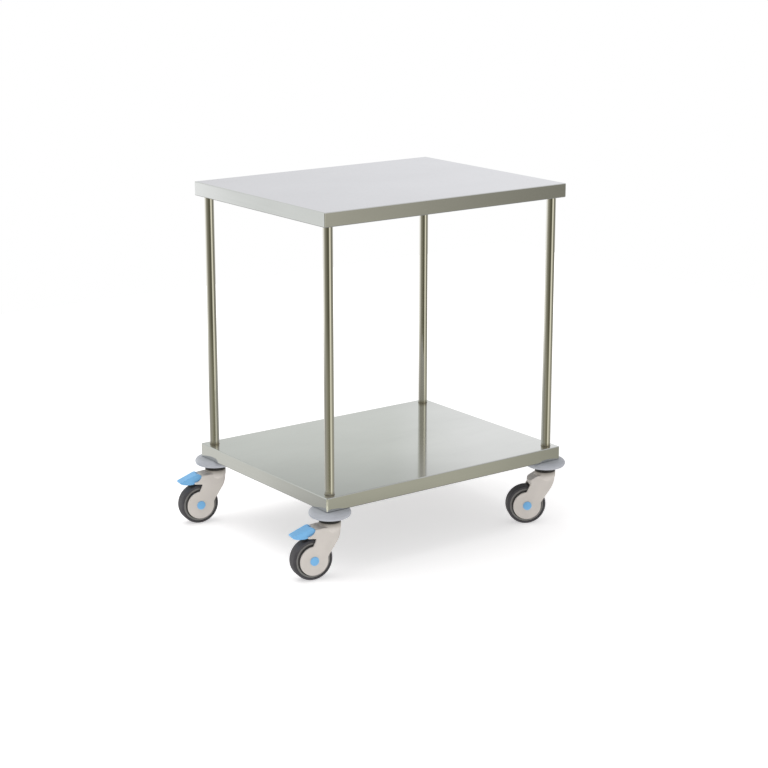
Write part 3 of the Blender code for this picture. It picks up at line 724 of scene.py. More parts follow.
def finish(name):
    """The finish of that name, built the first time that it is asked for."""
    title = f"finished_{name}"
    if title in bpy.data.materials:
        return bpy.data.materials[title]
    look = FINISHES[name]
    base = Vector(getattr(bpy.context.scene.instrument_table.colours, name))
    material, tree, shader = new_material(title)
    if look.along_uv:
        coordinates = add_node(tree, "ShaderNodeUVMap", uv_map=GRAIN_UV).outputs["UV"]
    else:
        coordinates = add_node(tree, "ShaderNodeTexCoord").outputs["Object"]
    shades = (base * (1 - look.tone), base * (1 + look.tone))
    tint = patchy(tree, coordinates, look.patches, PATCH_DETAIL, shades)
    # Painted shade and heat tint at the ends of the piece
    if name in HEAT_TINTS_AND_PAINTED_SHADES:
        tint = ends_heat_tinted_and_shaded(tree, coordinates, tint, HEAT_TINTS_AND_PAINTED_SHADES[name])
    grain = noise(tree, coordinates, look.grain, GRAIN_DETAIL)
    bump = add_node(tree, "ShaderNodeBump", {"Height": grain, "Strength": 1.0, "Distance": look.height})
    roughness = spread(tree, grain, NOISE_RANGE, look.roughness)
    inputs = {"Base Color": tint, "Metallic": look.metallic, "Roughness": roughness, "Normal": bump}
    feed(tree, shader, inputs)
    return material


# Geometry Nodes


def new_tree(name, sizes):
    """A Geometry Nodes tree that grows a mesh from places, with named inputs for its sizes."""
    tree = bpy.data.node_groups.new(name, "GeometryNodeTree")
    tree.interface.new_socket(name="Geometry", in_out="OUTPUT", socket_type="NodeSocketGeometry")
    for socket, kind in {"Places": "Geometry", **sizes, "Material": "Material"}.items():
        tree.interface.new_socket(name=socket, in_out="INPUT", socket_type=f"NodeSocket{kind}")
    return tree, add_node(tree, "NodeGroupInput").outputs


def repeat_at_places(tree, source, instance):
    """The tree, ended by repeating the instance at each place."""
    points = add_node(tree, "GeometryNodeMeshToPoints", {"Mesh": source["Places"]})
    repeat = add_node(tree, "GeometryNodeInstanceOnPoints", {"Points": points, "Instance": instance})
    real = add_node(tree, "GeometryNodeRealizeInstances", {"Geometry": repeat})
    smooth = add_node(tree, "GeometryNodeSetShadeSmooth", {"Geometry": real})
    inputs = {"Geometry": smooth, "Material": source["Material"]}
    finished = add_node(tree, "GeometryNodeSetMaterial", inputs)
    add_node(tree, "NodeGroupOutput", {"Geometry": finished})
    return tree


def weld_ring_tree():
    """A ring of overlapping ripples at each place."""
    sizes = {"Ring Radius": "Float", "Bead Radius": "Float", "Ripples": "Int"}
    tree, source = new_tree("weld_rings", sizes)
    inputs = {"Resolution": source["Ripples"], "Radius": source["Ring Radius"]}
    circle = add_node(tree, "GeometryNodeCurvePrimitiveCircle", inputs)
    along = add_node(tree, "GeometryNodeCurveToPoints", {"Curve": circle}, mode="EVALUATED")
    inputs = {"Segments": 10, "Rings": 6, "Radius": source["Bead Radius"]}
    bead = add_node(tree, "GeometryNodeMeshUVSphere", inputs)
    inputs = {"Points": along, "Rotation": along.outputs["Rotation"], "Instance": bead}
    ripples = add_node(tree, "GeometryNodeInstanceOnPoints", inputs)
    return repeat_at_places(tree, source, ripples)


def spot_weld_tree():
    """A row of spot welds along X from each place."""
    sizes = {"Pitch": "Float", "Count": "Int", "Spot Radius": "Float", "Spot Height": "Float"}
    tree, source = new_tree("spot_welds", sizes)
    step = add_node(tree, "ShaderNodeCombineXYZ", {"X": source["Pitch"]})
    row = add_node(tree, "GeometryNodeMeshLine", {"Count": source["Count"], "Offset": step}, mode="OFFSET")
    spot = add_node(tree, "GeometryNodeMeshUVSphere", {"Segments": 14, "Rings": 6, "Radius": 1.0})
    radius = source["Spot Radius"]
    size = add_node(tree, "ShaderNodeCombineXYZ", {"X": radius, "Y": radius, "Z": source["Spot Height"]})
    welds = add_node(tree, "GeometryNodeInstanceOnPoints", {"Points": row, "Instance": spot, "Scale": size})
    return repeat_at_places(tree, source, welds)


def grown(tree, places, values):
    """The mesh that a tree grows from points, with its inputs set by name."""
    mesh = bpy.data.meshes.new("places")
    mesh.from_pydata(places, [], [])
    obj = guide(mesh)
    modifier = obj.modifiers.new(tree.name, "NODES")
    modifier.node_group = tree
    for item in tree.interface.items_tree:
        if item.name in values:
            modifier[item.identifier] = values[item.name]
    return baked(obj)


# Trays


def folded_tray(settings, low, high, corner):
    """A folded sheet with a downturned apron, a flange turned in below it, and a radius at its corners."""
    shape = bmesh.new()
    shape.from_mesh(box(low, high))
    bottom = min(shape.faces, key=lambda face: face.calc_center_median().z)
    bmesh.ops.delete(shape, geom=[bottom], context="FACES_ONLY")
    rim = [edge for edge in shape.edges if edge.is_boundary]
    flange = bmesh.ops.extrude_edge_only(shape, edges=rim)["geom"]
    for vertex in (item for item in flange if isinstance(item, bmesh.types.BMVert)):
        vertex.co.x -= math.copysign(settings.flange, vertex.co.x)
        vertex.co.y -= math.copysign(settings.flange, vertex.co.y)
    bmesh.ops.recalc_face_normals(shape, faces=shape.faces)
    weight = shape.edges.layers.float.new("bevel_weight_edge")
    for edge in shape.edges:
        if edge.is_manifold and edge.calc_face_angle() > CRISP_ANGLE:
            ends = [vertex.co.z for vertex in edge.verts]
            upright = max(ends) - min(ends) > corner
            edge[weight] = 1.0 if upright else settings.fold_radius / corner
    obj = guide(to_mesh(shape))
    add_modifier(obj, "BEVEL", width=corner, segments=settings.fold_steps, limit_method="WEIGHT")
    add_modifier(obj, "SOLIDIFY", thickness=settings.sheet, offset=-1.0, use_even_offset=True)
    return baked(obj)


def add_grain_uv(mesh):
    """Lays the grain along the length of each face of a tray, in metres."""
    layer = mesh.uv_layers.new(name=GRAIN_UV)
    for face in mesh.polygons:
        across = [abs(value) for value in face.normal]
        facing = across.index(max(across))
        u_axis, v_axis = {0: (1, 2), 1: (0, 2), 2: (0, 1)}[facing]
        for loop in face.loop_indices:
            point = mesh.vertices[mesh.loops[loop].vertex_index].co
            layer.data[loop].uv = (point[u_axis], point[v_axis])


class TABLE_OT_trays(bpy.types.Operator):
    """Fold the top tray and the bottom shelf"""

    bl_idname = "instrument_table.trays"
    bl_label = "Trays"

    def execute(self, context):
        settings = context.scene.instrument_table.trays
        trays = (
            ("top_tray", "sheet_steel", settings.fold_radius),
            ("bottom_shelf", "shelf_steel", settings.corner_radius),
        )
        for node, material, corner_radius in trays:
            low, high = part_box(node)
            mesh = folded_tray(settings, low, high, corner_radius)
            if node == "bottom_shelf":
                holes = []
                for corner in CORNERS:
                    hole = cylinder(settings.stem_hole / 2, -OVERCUT - settings.sheet, OVERCUT)
                    hole.transform(axis_place(f"corner_bush_{corner}", high.z))
                    holes.append(("DIFFERENCE", hole))
                mesh = combined(mesh, *holes)
            add_grain_uv(mesh)
            tray = piece(f"folded_{node}", mesh, finish(material), even=True)
            stand_for(tray, "frame", "sheet_steel", node)
        return {"FINISHED"}


class TABLE_OT_stiffeners(bpy.types.Operator):
    """Finish the stiffeners and spot-weld them to the trays"""

    bl_idname = "instrument_table.stiffeners"
    bl_label = "Stiffeners"

    def execute(self, context):
        settings = context.scene.instrument_table.trays
        tree = spot_weld_tree()
        for node in ("top_stiffener", "bottom_stiffener"):
            dress(node, finish("plated_steel"))
            low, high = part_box(node)
            count = int((high.x - low.x) / settings.spot_pitch)
            start = (low.x + high.x - (count - 1) * settings.spot_pitch) / 2
            height = high.z - settings.sheet
            rows = (low.y + settings.spot_inset, high.y - settings.spot_inset)
            values = {
                "Pitch": settings.spot_pitch,
                "Count": count,
                "Spot Radius": settings.spot_radius,
                "Spot Height": settings.spot_height,
                "Material": finish("weld"),
            }
            mesh = grown(tree, [(start, y, height) for y in rows], values)
            stand_for(piece(f"{node}_welds", mesh, finish("weld")), "frame", "sheet_steel")
        return {"FINISHED"}


# Legs


def sleeve(outer, inner, height, chamfer):
    """A ring standing on Z = 0, with its outer edges chamfered."""
    return turned(
        [
            (outer - chamfer, height),
            (outer, height - chamfer),
            (outer, chamfer),
            (outer - chamfer, 0.0),
            (inner, 0.0),
            (inner, height),
        ]
    )


class TABLE_OT_legs(bpy.types.Operator):
    """Draw the legs, weld them, and finish the fittings at their ends"""

    bl_idname = "instrument_table.legs"
    bl_label = "Legs"

    def execute(self, context):
        settings = context.scene.instrument_table.legs
        radius = settings.diameter / 2
        welds = []
        for corner in CORNERS:
            node = f"leg_{corner}"
            low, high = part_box(node)
            tube = sleeve(radius, radius - settings.wall, high.z - low.z, settings.chamfer / 2)
            place = axis_place(node, low.z)
            leg = piece(f"drawn_{node}", tube, finish("leg_tube"), place)
            stand_for(leg, "frame", "leg_tube", node)
            x, y, foot = place.translation
            welds += [(x, y, foot), (x, y, high.z)]
            self.build_fittings(corner, settings)
        values = {
            "Ring Radius": radius - settings.bead_inset,
            "Bead Radius": settings.bead_radius,
            "Ripples": settings.ripples,
            "Material": finish("weld"),
        }
        beads = grown(weld_ring_tree(), welds, values)
        stand_for(piece("leg_welds", beads, finish("weld"), crisp=False), "frame", "leg_tube")
        return {"FINISHED"}

    def build_fittings(self, corner, settings):
        plated = finish("plated_steel")
        dress(f"spigot_plate_{corner}", plated)
        outsides = {"leg_insert": settings.insert_diameter, "corner_bush": settings.bush_diameter}
        for kind, outside in outsides.items():
            node = f"{kind}_{corner}"
            low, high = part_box(node)
            ring = sleeve(outside / 2, settings.stem_bore / 2, high.z - low.z, settings.chamfer)
            fitting = piece(f"turned_{node}", ring, plated, axis_place(node, low.z))
            stand_for(fitting, "frame", "plated_steel", node)


# Castor tops


def bumper_mesh(settings):
    """A disc with a flat top, a round rim and a moulding seam, standing on Z = 0."""
    seam = settings.bumper_seam / 2
    rim = settings.bumper_diameter / 2 - seam
    top = settings.bumper_top / 2
    foot = settings.bumper_foot / 2
    bore = settings.stem_diameter / 2 + GAP
    middle = settings.bumper_height / 2
    upper = ellipse((top, middle), rim - top, middle, 90, 0)[:-1]
    lower = ellipse((foot, middle), rim - foot, middle, 0, -90)[1:]
    ridge = [(rim, middle + seam), (rim + seam, middle), (rim, middle - seam)]
    return turned(upper + ridge + lower + [(bore, 0.0), (bore, settings.bumper_height)])


def stem_mesh(settings, fork_rise, tray_top):
    """A plain stem, the upper race with its groove, and the swivel pivot with its button."""
    pivot = settings.pivot_diameter / 2
    button = pivot + settings.button
    foot = fork_rise - settings.pivot_length
    button_top = foot + settings.button_height
    race = settings.race_diameter / 2
    race_foot = fork_rise + GAP
    race_top = race_foot + settings.race_height
    groove = settings.race_groove
    middle = race_foot + settings.groove_rise
    stem = settings.stem_diameter / 2
    top = tray_top + GAP + settings.stem_grip
    profile = [
        (0.0, top),
        (stem, top),
        (stem, race_top),
        (race, race_top),
        (race, middle + groove / 2),
        (race - groove, middle + groove / 2),
        (race - groove, middle - groove / 2),
        (race, middle - groove / 2),
        (race, race_foot),
        (pivot, race_foot),
        (pivot, button_top),
        (button, button_top),
        (button, foot),
        (0.0, foot),
    ]
    return turned(softened(profile, settings.edge), ring=False)


class TABLE_OT_castor_tops(bpy.types.Operator):
    """Mould the bumpers and turn the stems"""

    bl_idname = "instrument_table.castor_tops"
    bl_label = "Castor tops"

    def execute(self, context):
        settings = context.scene.instrument_table.tops
        rise = context.scene.instrument_table.forks.rise
        shelf_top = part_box("bottom_shelf")[1].z
        bumper = bumper_mesh(settings)
        for castor in CASTORS:
            stem = stem_mesh(settings, rise, shelf_top - castor.place.translation.z)
            node = f"bumper_{castor.corner}"
            place = axis_place(node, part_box(node)[0].z)
            disc = piece(f"moulded_{node}", bumper, finish("bumper_plastic"), place)
            stand_for(disc, "frame", "bumper_plastic", node)
            node = f"castor_stem_{castor.corner}"
            race = piece(f"turned_{node}", stem, finish("race_steel"), castor.place)
            stand_for(race, "frame", "race_steel", node)
        return {"FINISHED"}


# Forks

# Arcs in degrees: the disc round the axle, and the hollow round a pedal's root
DISC_ARC = (170, 447)
SCOOP_ARC = (274, 190)


def lip_height(castor, settings):
    """The height of the wheel slot's roof at the end of the hood."""
    return math.sqrt(settings.slot_radius**2 - (settings.hood_reach - castor.trail) ** 2)


def fork_outline(castor, settings):
    """The side of the fork: a curved arm from the head to a disc round the axle, and a hood."""
    disc = arc((castor.trail, 0.0), settings.disc_diameter / 2, *DISC_ARC)
    shoulder = settings.rise - settings.arm_shoulder
    front = bezier(
        (-settings.arm_front, shoulder),
        (-settings.arm_front + settings.arm_lean, shoulder - settings.arm_sweep),
        (disc[0][0] - settings.arm_sweep, disc[0][1] + settings.foot_sweep),
        disc[0],
    )
    neck = (-settings.arm_front, settings.rise - settings.head_height)
    lip = lip_height(castor, settings)
    notch = (settings.hood_reach - settings.notch, lip)
    root = (settings.hood_root, settings.rise - settings.hood_recess)
    hood = scooped_hood(castor.pedal, settings, lip) if castor.pedal else plain_hood(settings, lip, root)
    return [neck] + front + disc[1:] + [notch] + hood + [root]


def plain_hood(settings, lip, root):
    """The hood's end and back, up to its root."""
    end = (settings.hood_reach, lip + settings.hood_lip)
    lift = (end[0], end[1] + settings.hood_curve)
    settle = (root[0] + settings.hood_curve, root[1] - settings.hood_slope)
    return bezier(end, lift, settle, root)[:-1]


def scooped_hood(pivot, settings, lip):
    """The lip under a pedal's root, and the hollow that the root shows in."""
    middle = (pivot.x + settings.scoop_back, pivot.z + settings.scoop_up)
    hollow = arc(middle, settings.scoop_radius, *SCOOP_ARC)
    return [(hollow[0][0], lip + settings.lip_rise)] + hollow


def fork_plan(castor, settings):
    """The fork seen from above: a round front under the head, and straight sides."""
    radius = settings.head_diameter / 2 - settings.arm_recess
    back = castor.trail + settings.disc_diameter / 2 + OVERCUT
    outline = arc((0.0, 0.0), radius, 90, 270) + [(back, -radius), (back, radius)]
    return tipped(extruded(outline, 2 * (settings.rise + OVERCUT)), -90)


def fork_head(settings):
    """The round head of the fork, under the race."""
    radius = settings.head_diameter / 2
    foot = settings.rise - settings.head_height
    profile = [
        (0.0, settings.rise),
        (radius, settings.rise),
        (radius, foot),
        (settings.width / 2, foot - settings.head_taper),
        (0.0, foot - settings.head_taper),
    ]
    return turned(softened(profile, settings.head_edge), ring=False)


def hood_trim(castor, settings):
    """A ring about the swivel axis that rounds off the end of a plain hood, seen from above."""
    low = lip_height(castor, settings)
    high = settings.rise + OVERCUT
    inside = settings.hood_reach
    outside = castor.trail + settings.disc_diameter
    return turned([(inside, high), (outside, high), (outside, low), (inside, low)])


def pedal_room(pivot, settings, brakes):
    """Boolean steps that clear the room of a pedal between the cheeks, and leave a lug to hang it on."""
    half = brakes.width / 2 + brakes.play
    root = brakes.root_diameter / 2 + brakes.play
    under = box((pivot.x - root, -half, 0.0), (pivot.x + 2 * brakes.root_diameter, half, pivot.z))
    low, high = pivot.z - brakes.tongue_radius, pivot.z + brakes.tongue_radius
    end = arc((pivot.x, pivot.z), brakes.tongue_radius, -90, 90)
    lug = extruded([(settings.hood_root, high), (settings.hood_root, low), *end], brakes.tongue_width)
    pin = rod(brakes.pin_diameter / 2 + GAP, settings.width, pivot.x, pivot.z)
    return [
        ("DIFFERENCE", rod(root, half, pivot.x, pivot.z)),
        ("DIFFERENCE", under),
        ("UNION", lug),
        ("DIFFERENCE", pin),
    ]


def swivel_bore(settings, tops):
    """The bore for the swivel pivot, with a pocket for its button."""
    bore = tops.pivot_diameter / 2 + GAP
    pocket = bore + tops.button
    top = settings.rise + OVERCUT
    foot = settings.rise - tops.pivot_length - GAP
    ledge = foot + tops.button_height + 2 * GAP
    profile = [(0.0, top), (bore, top), (bore, ledge), (pocket, ledge), (pocket, foot), (0.0, foot)]
    return turned(profile, ring=False)


def fork_mesh(castor, table):
    """The moulded fork, with its wheel slot, swivel bore and axle holes."""
    settings = table.forks
    side = extruded(fork_outline(castor, settings), settings.width)
    slot = rod(settings.slot_radius, settings.slot_width / 2, castor.trail, sides=2 * SIDES)
    steps = [
        ("INTERSECT", fork_plan(castor, settings)),
        ("UNION", fork_head(settings)),
        ("DIFFERENCE", slot),
    ]
    if castor.pedal:
        steps += pedal_room(castor.pedal, settings, table.brakes)
    else:
        steps.append(("DIFFERENCE", hood_trim(castor, settings)))
    axle = rod(table.wheels.bore / 2, settings.width, castor.trail)
    steps += [("DIFFERENCE", swivel_bore(settings, table.tops)), ("DIFFERENCE", axle)]
    body = combined(rounded(side, settings.edge, settings.edge_steps), *steps)
    return moulded(body, settings.voxel)


class TABLE_OT_forks(bpy.types.Operator):
    """Mould the forks, with or without the lug for a pedal"""

    bl_idname = "instrument_table.forks"
    bl_label = "Forks"

    def execute(self, context):
        table = context.scene.instrument_table
        shapes = {}
        for castor in CASTORS:
            braked = castor.pedal is not None
            if braked not in shapes:
                shapes[braked] = fork_mesh(castor, table)
            node = f"fork_{castor.corner}"
            mesh = shapes[braked]
            fork = piece(f"moulded_{node}", mesh, finish("fork_plastic"), castor.place, crisp=False)
            stand_for(fork, f"castor_{castor.corner}", "fork_plastic", node)
        return {"FINISHED"}


# Wheels


def hub_mesh(settings, boss_end):
    """The wheel centre: a rim, a thin web, and a bored boss that runs between the fork's cheeks."""
    inside = settings.rim_diameter / 2 - settings.rim_wall
    half = [
        (settings.bore / 2, boss_end),
        (settings.boss / 2, boss_end),
        (settings.boss / 2, settings.web / 2),
        (inside, settings.web / 2),
        (inside, settings.rim_width / 2),
        (settings.rim_diameter / 2, settings.rim_width / 2),
    ]
    return along_y(turned(softened(mirrored(half), settings.hub_edge)))


def tyre_mesh(settings):
    """The tread round the rim, with round shoulders."""
    half = settings.tyre_width / 2
    shoulder = settings.shoulder
    corner = (settings.diameter / 2 - shoulder, half - shoulder)
    inside = settings.rim_diameter / 2 + GAP
    edge = [(inside, half - settings.tyre_chamfer), (inside + settings.tyre_chamfer, half)]
    return along_y(turned(mirrored(edge + arc(corner, shoulder, 90, 0)), sides=2 * SIDES))


def cap_mesh(settings, fork_width):
    """The domed cap over the +Y end of an axle."""
    radius = settings.cap_diameter / 2
    foot = fork_width / 2 + GAP
    dome = ellipse((0.0, foot + settings.cap_rim), radius, settings.cap_height - settings.cap_rim, 90, 0)
    return along_y(turned([*dome, (radius, foot), (0.0, foot)], ring=False))


class TABLE_OT_wheels(bpy.types.Operator):
    """Turn the wheel centres, tyres, axles and caps"""

    bl_idname = "instrument_table.wheels"
    bl_label = "Wheels"

    def execute(self, context):
        table = context.scene.instrument_table
        settings = table.wheels
        fork = table.forks
        cap = cap_mesh(settings, fork.width)
        shapes = {
            "wheel_hub": (hub_mesh(settings, fork.slot_width / 2 - GAP), "wheel", "hub_plastic"),
            "tyre": (tyre_mesh(settings), "wheel", "tyre_rubber"),
            "axle": (rod(settings.axle_diameter / 2, fork.width / 2), "castor", "plated_steel"),
            "axle_cap_left": (cap, "castor", "brake_plastic"),
            "axle_cap_right": (turned_about(cap), "castor", "brake_plastic"),
        }
        for castor in CASTORS:
            place = castor.place @ Matrix.Translation((castor.trail, 0.0, 0.0))
            for kind, (mesh, body, material) in shapes.items():
                node = f"{kind}_{castor.corner}"
                part = piece(f"turned_{node}", mesh, finish(material), place)
                stand_for(part, f"{body}_{castor.corner}", material, node)
        return {"FINISHED"}


# Brakes

# Arcs in degrees: the pedal's root and its tip
ROOT_ARC = (72, 260)
TIP_ARC = (-80, 72)


def pedal_outline(settings):
    """The side of the pedal: a round root, a straight back, a full belly and a blunt tip."""
    tip_radius = settings.tip_diameter / 2
    root = arc((0.0, 0.0), settings.root_diameter / 2, *ROOT_ARC)
    nose = arc((settings.length - tip_radius, -settings.tip_drop), tip_radius, *TIP_ARC)
    lead = (settings.belly_lead, -settings.belly)
    tail = (settings.length - settings.belly_tail, -settings.belly)
    belly = bezier(root[-1], lead, tail, nose[0])
    return root + belly[1:-1] + nose


def tapered(mesh, settings):
    """The pedal's mesh, narrowed towards its tip."""
    root = settings.root_diameter / 2
    slope = (settings.tip_width / settings.width - 1) / (settings.length + root)
    for vertex in mesh.vertices:
        vertex.co.y *= 1 + slope * (vertex.co.x + root)
    return mesh


def pedal_mesh(settings):
    """The pedal, with a slot for the fork's lug."""
    side = extruded(pedal_outline(settings), settings.width)
    leaf = tapered(rounded(side, settings.edge, settings.edge_steps), settings)
    half = settings.tongue_width / 2 + 2 * GAP
    reach = settings.root_diameter / 2 + OVERCUT
    slot = box((-reach, -half, -reach), (0.0, half, reach))
    end = rod(settings.tongue_radius + settings.play, half)
    return moulded(combined(leaf, ("DIFFERENCE", slot), ("DIFFERENCE", end)), settings.voxel)


class TABLE_OT_brakes(bpy.types.Operator):
    """Mould the brake pedals, and finish their pins and pads"""

    bl_idname = "instrument_table.brakes"
    bl_label = "Brakes"

    def execute(self, context):
        settings = context.scene.instrument_table.brakes
        pedal = pedal_mesh(settings)
        for castor in BRAKED:
            body = f"pedal_{castor.corner}"
            place = castor.place @ Matrix.Translation(castor.pedal)
            node = f"brake_pedal_{castor.corner}"
            leaf = piece(f"moulded_{node}", pedal, finish("brake_plastic"), place, crisp=False)
            # Its blue isn't mirrored in the polished steel
            leaf.visible_glossy = False
            stand_for(leaf, body, "brake_plastic", node)
            dress(f"pedal_pin_{castor.corner}", finish("plated_steel"))
            dress(f"brake_pad_{castor.corner}", finish("pad_rubber"))
        return {"FINISHED"}


# Stage

# Tints of the studio's panels
WHITE = (1.0, 1.0, 1.0)
SKY = (1.0, 1.0, 1.03)
MIST = (1.0, 1.025, 0.98)
PEARL = (1.0, 0.993, 0.93)
CREAM = (1.0, 0.973, 0.79)
OLIVE = (1.0, 0.965, 0.65)

# The studio that the steel reflects: panels on the floor, then rings of panels up to the ceiling, by the
# heights in degrees between which a ring comes in. A panel is a heading in degrees, a brightness and a
# tint, and it fades into the next one.
STUDIO_FLOOR = (
    (-150, 0.18, WHITE),
    (-82, 0.55, WHITE),
    (-46, 0.24, WHITE),
    (54, 0.42, WHITE),
    (126, 0.36, WHITE),
)
STUDIO_RINGS = {
    # Cards laid round the table
    (-25.0, -22.0): (
        (-180, 1.30, CREAM),
        (-70, 1.30, CREAM),
        (-60, 0.56, CREAM),
        (-46, 0.44, CREAM),
        (54, 1.00, WHITE),
        (118, 0.88, PEARL),
        (127, 0.42, PEARL),
        (145, 1.30, CREAM),
    ),
    # Foot of the walls, which the shelf's aprons show
    (-18.55, -18.3): (
        (-180, 0.45, CREAM),
        (-122, 0.24, OLIVE),
        (-104, 0.22, OLIVE),
        (-88, 1.00, CREAM),
        (-70, 1.00, CREAM),
        (-60, 0.54, CREAM),
        (-53.8, 0.62, CREAM),
        (-51, 0.61, CREAM),
        (-48, 0.42, CREAM),
        (-12, 0.40, CREAM),
        (54, 1.00, WHITE),
        (118, 0.89, PEARL),
        (122.3, 0.92, PEARL),
        (124, 0.68, PEARL),
        (127, 0.39, PEARL),
        (180, 0.45, CREAM),
    ),
    # Walls, which the top's aprons and the legs show: dark in front, with one cream strip of light
    (-15.0, -13.0): (
        (-180, 0.36, CREAM),
        (-145, 0.19, OLIVE),
        (-122, 0.13, OLIVE),
        (-102, 0.12, OLIVE),
        (-86, 1.10, CREAM),
        (-66, 1.10, CREAM),
        (-57, 0.54, CREAM),
        (-46, 0.20, CREAM),
        (-14, 0.36, CREAM),
        (54, 1.10, WHITE),
        (118, 1.54, WHITE),
        (122.3, 0.82, MIST),
        (126, 0.94, MIST),
        (140, 1.20, PEARL),
        (160, 0.52, CREAM),
        (180, 0.36, CREAM),
    ),
    # Upper walls, which the top shows
    (2.0, 6.0): (
        (-180, 0.60, PEARL),
        (-100, 0.60, PEARL),
        (-86, 1.00, PEARL),
        (-66, 1.00, PEARL),
        (-50, 0.58, PEARL),
        (-10, 0.62, WHITE),
        (44, 0.97, SKY),
        (60, 0.81, SKY),
        (126, 0.85, MIST),
        (160, 0.60, PEARL),
    ),
    # Cornice, which the shelf shows
    (13.0, 16.0): (
        (-180, 0.46, CREAM),
        (-100, 0.44, CREAM),
        (-86, 1.15, CREAM),
        (-66, 1.15, CREAM),
        (-50, 0.46, CREAM),
        (-10, 0.52, PEARL),
        (40, 1.11, WHITE),
        (51.4, 1.11, WHITE),
        (53.2, 0.88, MIST),
        (60, 0.86, MIST),
        (126, 0.95, MIST),
        (160, 0.46, CREAM),
    ),
    # Ceiling
    (16.6, 18.7): (
        (50.5, 0.80, WHITE),
        (53, 0.50, MIST),
        (60, 0.50, MIST),
        (85, 0.90, MIST),
    ),
}


# Floor: repeats per metre and octaves of its patches, their darker tone, roughness, and colour of its glow
FLOOR_PATCHES = 2.0
FLOOR_DETAIL = 2.0
FLOOR_TONE = 0.99
FLOOR_ROUGHNESS = 0.9
FLOOR_GLOW = (1.0, 0.99, 0.995, 1.0)


def panel_colours(tree, heading, panels):
    """The colours of a ring of panels, all the way round."""
    stops = [((angle + 180) / 360, Vector(tint) * light) for angle, light, tint in panels]
    return ramp(tree, heading, stops)


def build_world(settings):
    """Even white light, and a studio that only glossy surfaces reflect."""
    world = bpy.data.worlds.new("studio")
    world.use_nodes = True
    tree = world.node_tree
    tree.nodes.clear()
    direction = add_node(tree, "ShaderNodeTexCoord").outputs["Generated"]
    parts = add_node(tree, "ShaderNodeSeparateXYZ", {"Vector": direction}).outputs
    angle = add_node(tree, "ShaderNodeMath", {0: parts["Y"], 1: parts["X"]}, operation="ARCTAN2")
    heading = spread(tree, angle, (-math.pi, math.pi), (0.0, 1.0))
    shown = panel_colours(tree, heading, STUDIO_FLOOR)
    for rise, panels in STUDIO_RINGS.items():
        heights = [math.sin(math.radians(height)) for height in rise]
        share = spread(tree, parts["Z"], heights, (0.0, 1.0))
        shown = mixed(tree, share, shown, panel_colours(tree, heading, panels))
    white = (*WHITE, 1.0)
    studio = add_node(tree, "ShaderNodeBackground", {"Color": shown})
    backdrop = add_node(tree, "ShaderNodeBackground", {"Color": white})
    light = add_node(tree, "ShaderNodeBackground", {"Color": white, "Strength": settings.daylight})
    path = add_node(tree, "ShaderNodeLightPath").outputs
    for ray, other in (("Is Glossy Ray", studio), ("Is Camera Ray", backdrop)):
        light = add_node(tree, "ShaderNodeMixShader", {0: path[ray], 1: light, 2: other})
    add_node(tree, "ShaderNodeOutputWorld", {"Surface": light})
    # Light sampling can't tell a glossy ray, so the world is met by traced rays alone
    world.cycles.sampling_method = "NONE"
    bpy.context.scene.world = world


def build_floor(settings, shade):
    """A wide pale floor that fades to white far off, and that polished steel doesn't mirror."""
    half = settings.floor_size / 2
    corners = [(-half, -half, 0.0), (half, -half, 0.0), (half, half, 0.0), (-half, half, 0.0)]
    mesh = bpy.data.meshes.new("floor")
    mesh.from_pydata(corners, [], [(0, 1, 2, 3)])
    material, tree, shader = new_material("pale_floor")
    coordinates = add_node(tree, "ShaderNodeTexCoord").outputs["Object"]
    shades = (shade * FLOOR_TONE, shade)
    distance = add_node(tree, "ShaderNodeVectorMath", {0: coordinates}, operation="LENGTH").outputs["Value"]
    inputs = {
        "Base Color": patchy(tree, coordinates, alike(FLOOR_PATCHES), FLOOR_DETAIL, shades),
        "Roughness": FLOOR_ROUGHNESS,
        "Emission Color": FLOOR_GLOW,
        "Emission Strength": spread(tree, distance, (half / 2, half), (settings.floor_glow, 1.0)),
    }
    feed(tree, shader, inputs)
    mesh.materials.append(material)
    floor = in_scene("floor", mesh)
    floor.visible_glossy = False


def build_key_light(settings):
    """A large soft light above the table, aimed at its foot."""
    data = bpy.data.lights.new("key", "AREA")
    data.energy = settings.key
    data.size = settings.key_size
    key = in_scene("key", data)
    key.location = settings.key_place
    key.rotation_euler = (-key.location).to_track_quat("-Z", "Y").to_euler()
    key.visible_glossy = False


def build_camera(settings):
    """The camera, at the photograph's viewing angle."""
    data = bpy.data.cameras.new("camera")
    data.lens = settings.lens
    camera = in_scene("camera", data)
    camera.location = settings.camera_place
    camera.rotation_euler = (math.radians(90) - settings.camera_tilt, 0.0, settings.camera_turn)
    bpy.context.scene.camera = camera


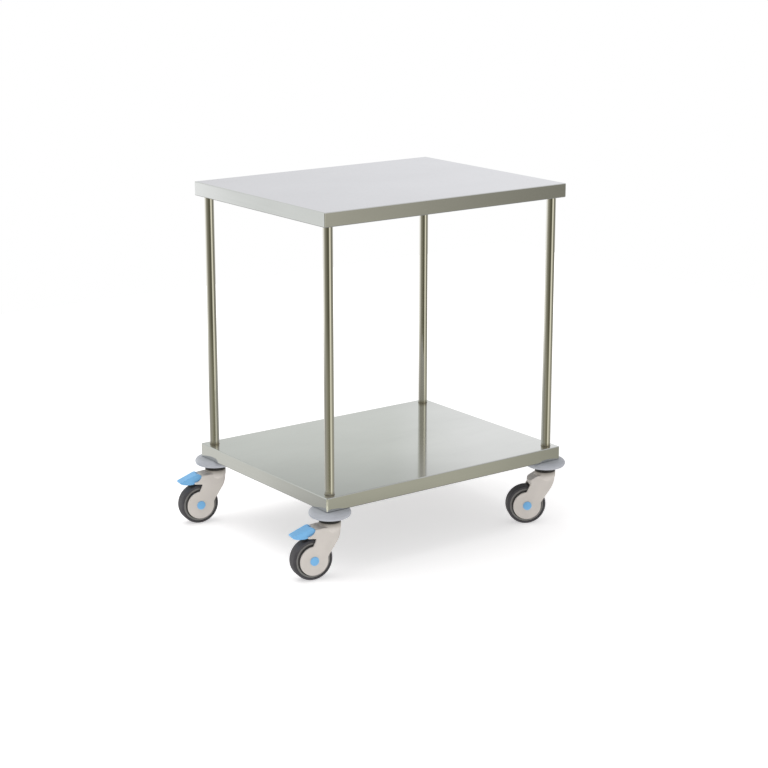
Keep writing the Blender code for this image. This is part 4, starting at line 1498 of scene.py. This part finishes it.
class TABLE_OT_stage(bpy.types.Operator):
    """Set up the camera, the light and the floor"""

    bl_idname = "instrument_table.stage"
    bl_label = "Stage"

    def execute(self, context):
        table = context.scene.instrument_table
        build_world(table.stage)
        build_floor(table.stage, Vector(table.colours.floor))
        build_key_light(table.stage)
        build_camera(table.stage)
        context.scene.view_settings.view_transform = "Standard"
        return {"FINISHED"}


GROUPS = (
    TraySettings,
    LegSettings,
    CastorTopSettings,
    ForkSettings,
    WheelSettings,
    BrakeSettings,
    ColourSettings,
    StageSettings,
    TableSettings,
)
OPERATORS = (
    TABLE_OT_stage,
    TABLE_OT_trays,
    TABLE_OT_stiffeners,
    TABLE_OT_legs,
    TABLE_OT_castor_tops,
    TABLE_OT_forks,
    TABLE_OT_wheels,
    TABLE_OT_brakes,
)


class TABLE_PT_panel(bpy.types.Panel):
    """Settings and operators of the instrument table"""

    bl_idname = "TABLE_PT_panel"
    bl_label = "Instrument table"
    bl_space_type = "VIEW_3D"
    bl_region_type = "UI"
    bl_category = "Instrument Table"

    def draw(self, context):
        table = context.scene.instrument_table
        for operator in OPERATORS:
            self.layout.operator(operator.bl_idname)
        for group in TableSettings.__annotations__:
            column = self.layout.box().column()
            column.label(text=group.title())
            settings = getattr(table, group)
            for name in type(settings).__annotations__:
                column.prop(settings, name)


def register():
    for cls in (*GROUPS, *OPERATORS, TABLE_PT_panel):
        bpy.utils.register_class(cls)
    bpy.types.Scene.instrument_table = PointerProperty(type=TableSettings)


def unregister():
    del bpy.types.Scene.instrument_table
    for cls in reversed((*GROUPS, *OPERATORS, TABLE_PT_panel)):
        bpy.utils.unregister_class(cls)


def main():
    register()
    bpy.ops.instrument_table.stage()
    bpy.ops.instrument_table.trays()
    bpy.ops.instrument_table.stiffeners()
    bpy.ops.instrument_table.legs()
    bpy.ops.instrument_table.castor_tops()
    bpy.ops.instrument_table.forks()
    bpy.ops.instrument_table.wheels()
    bpy.ops.instrument_table.brakes()


if __name__ == "__main__":
    main()
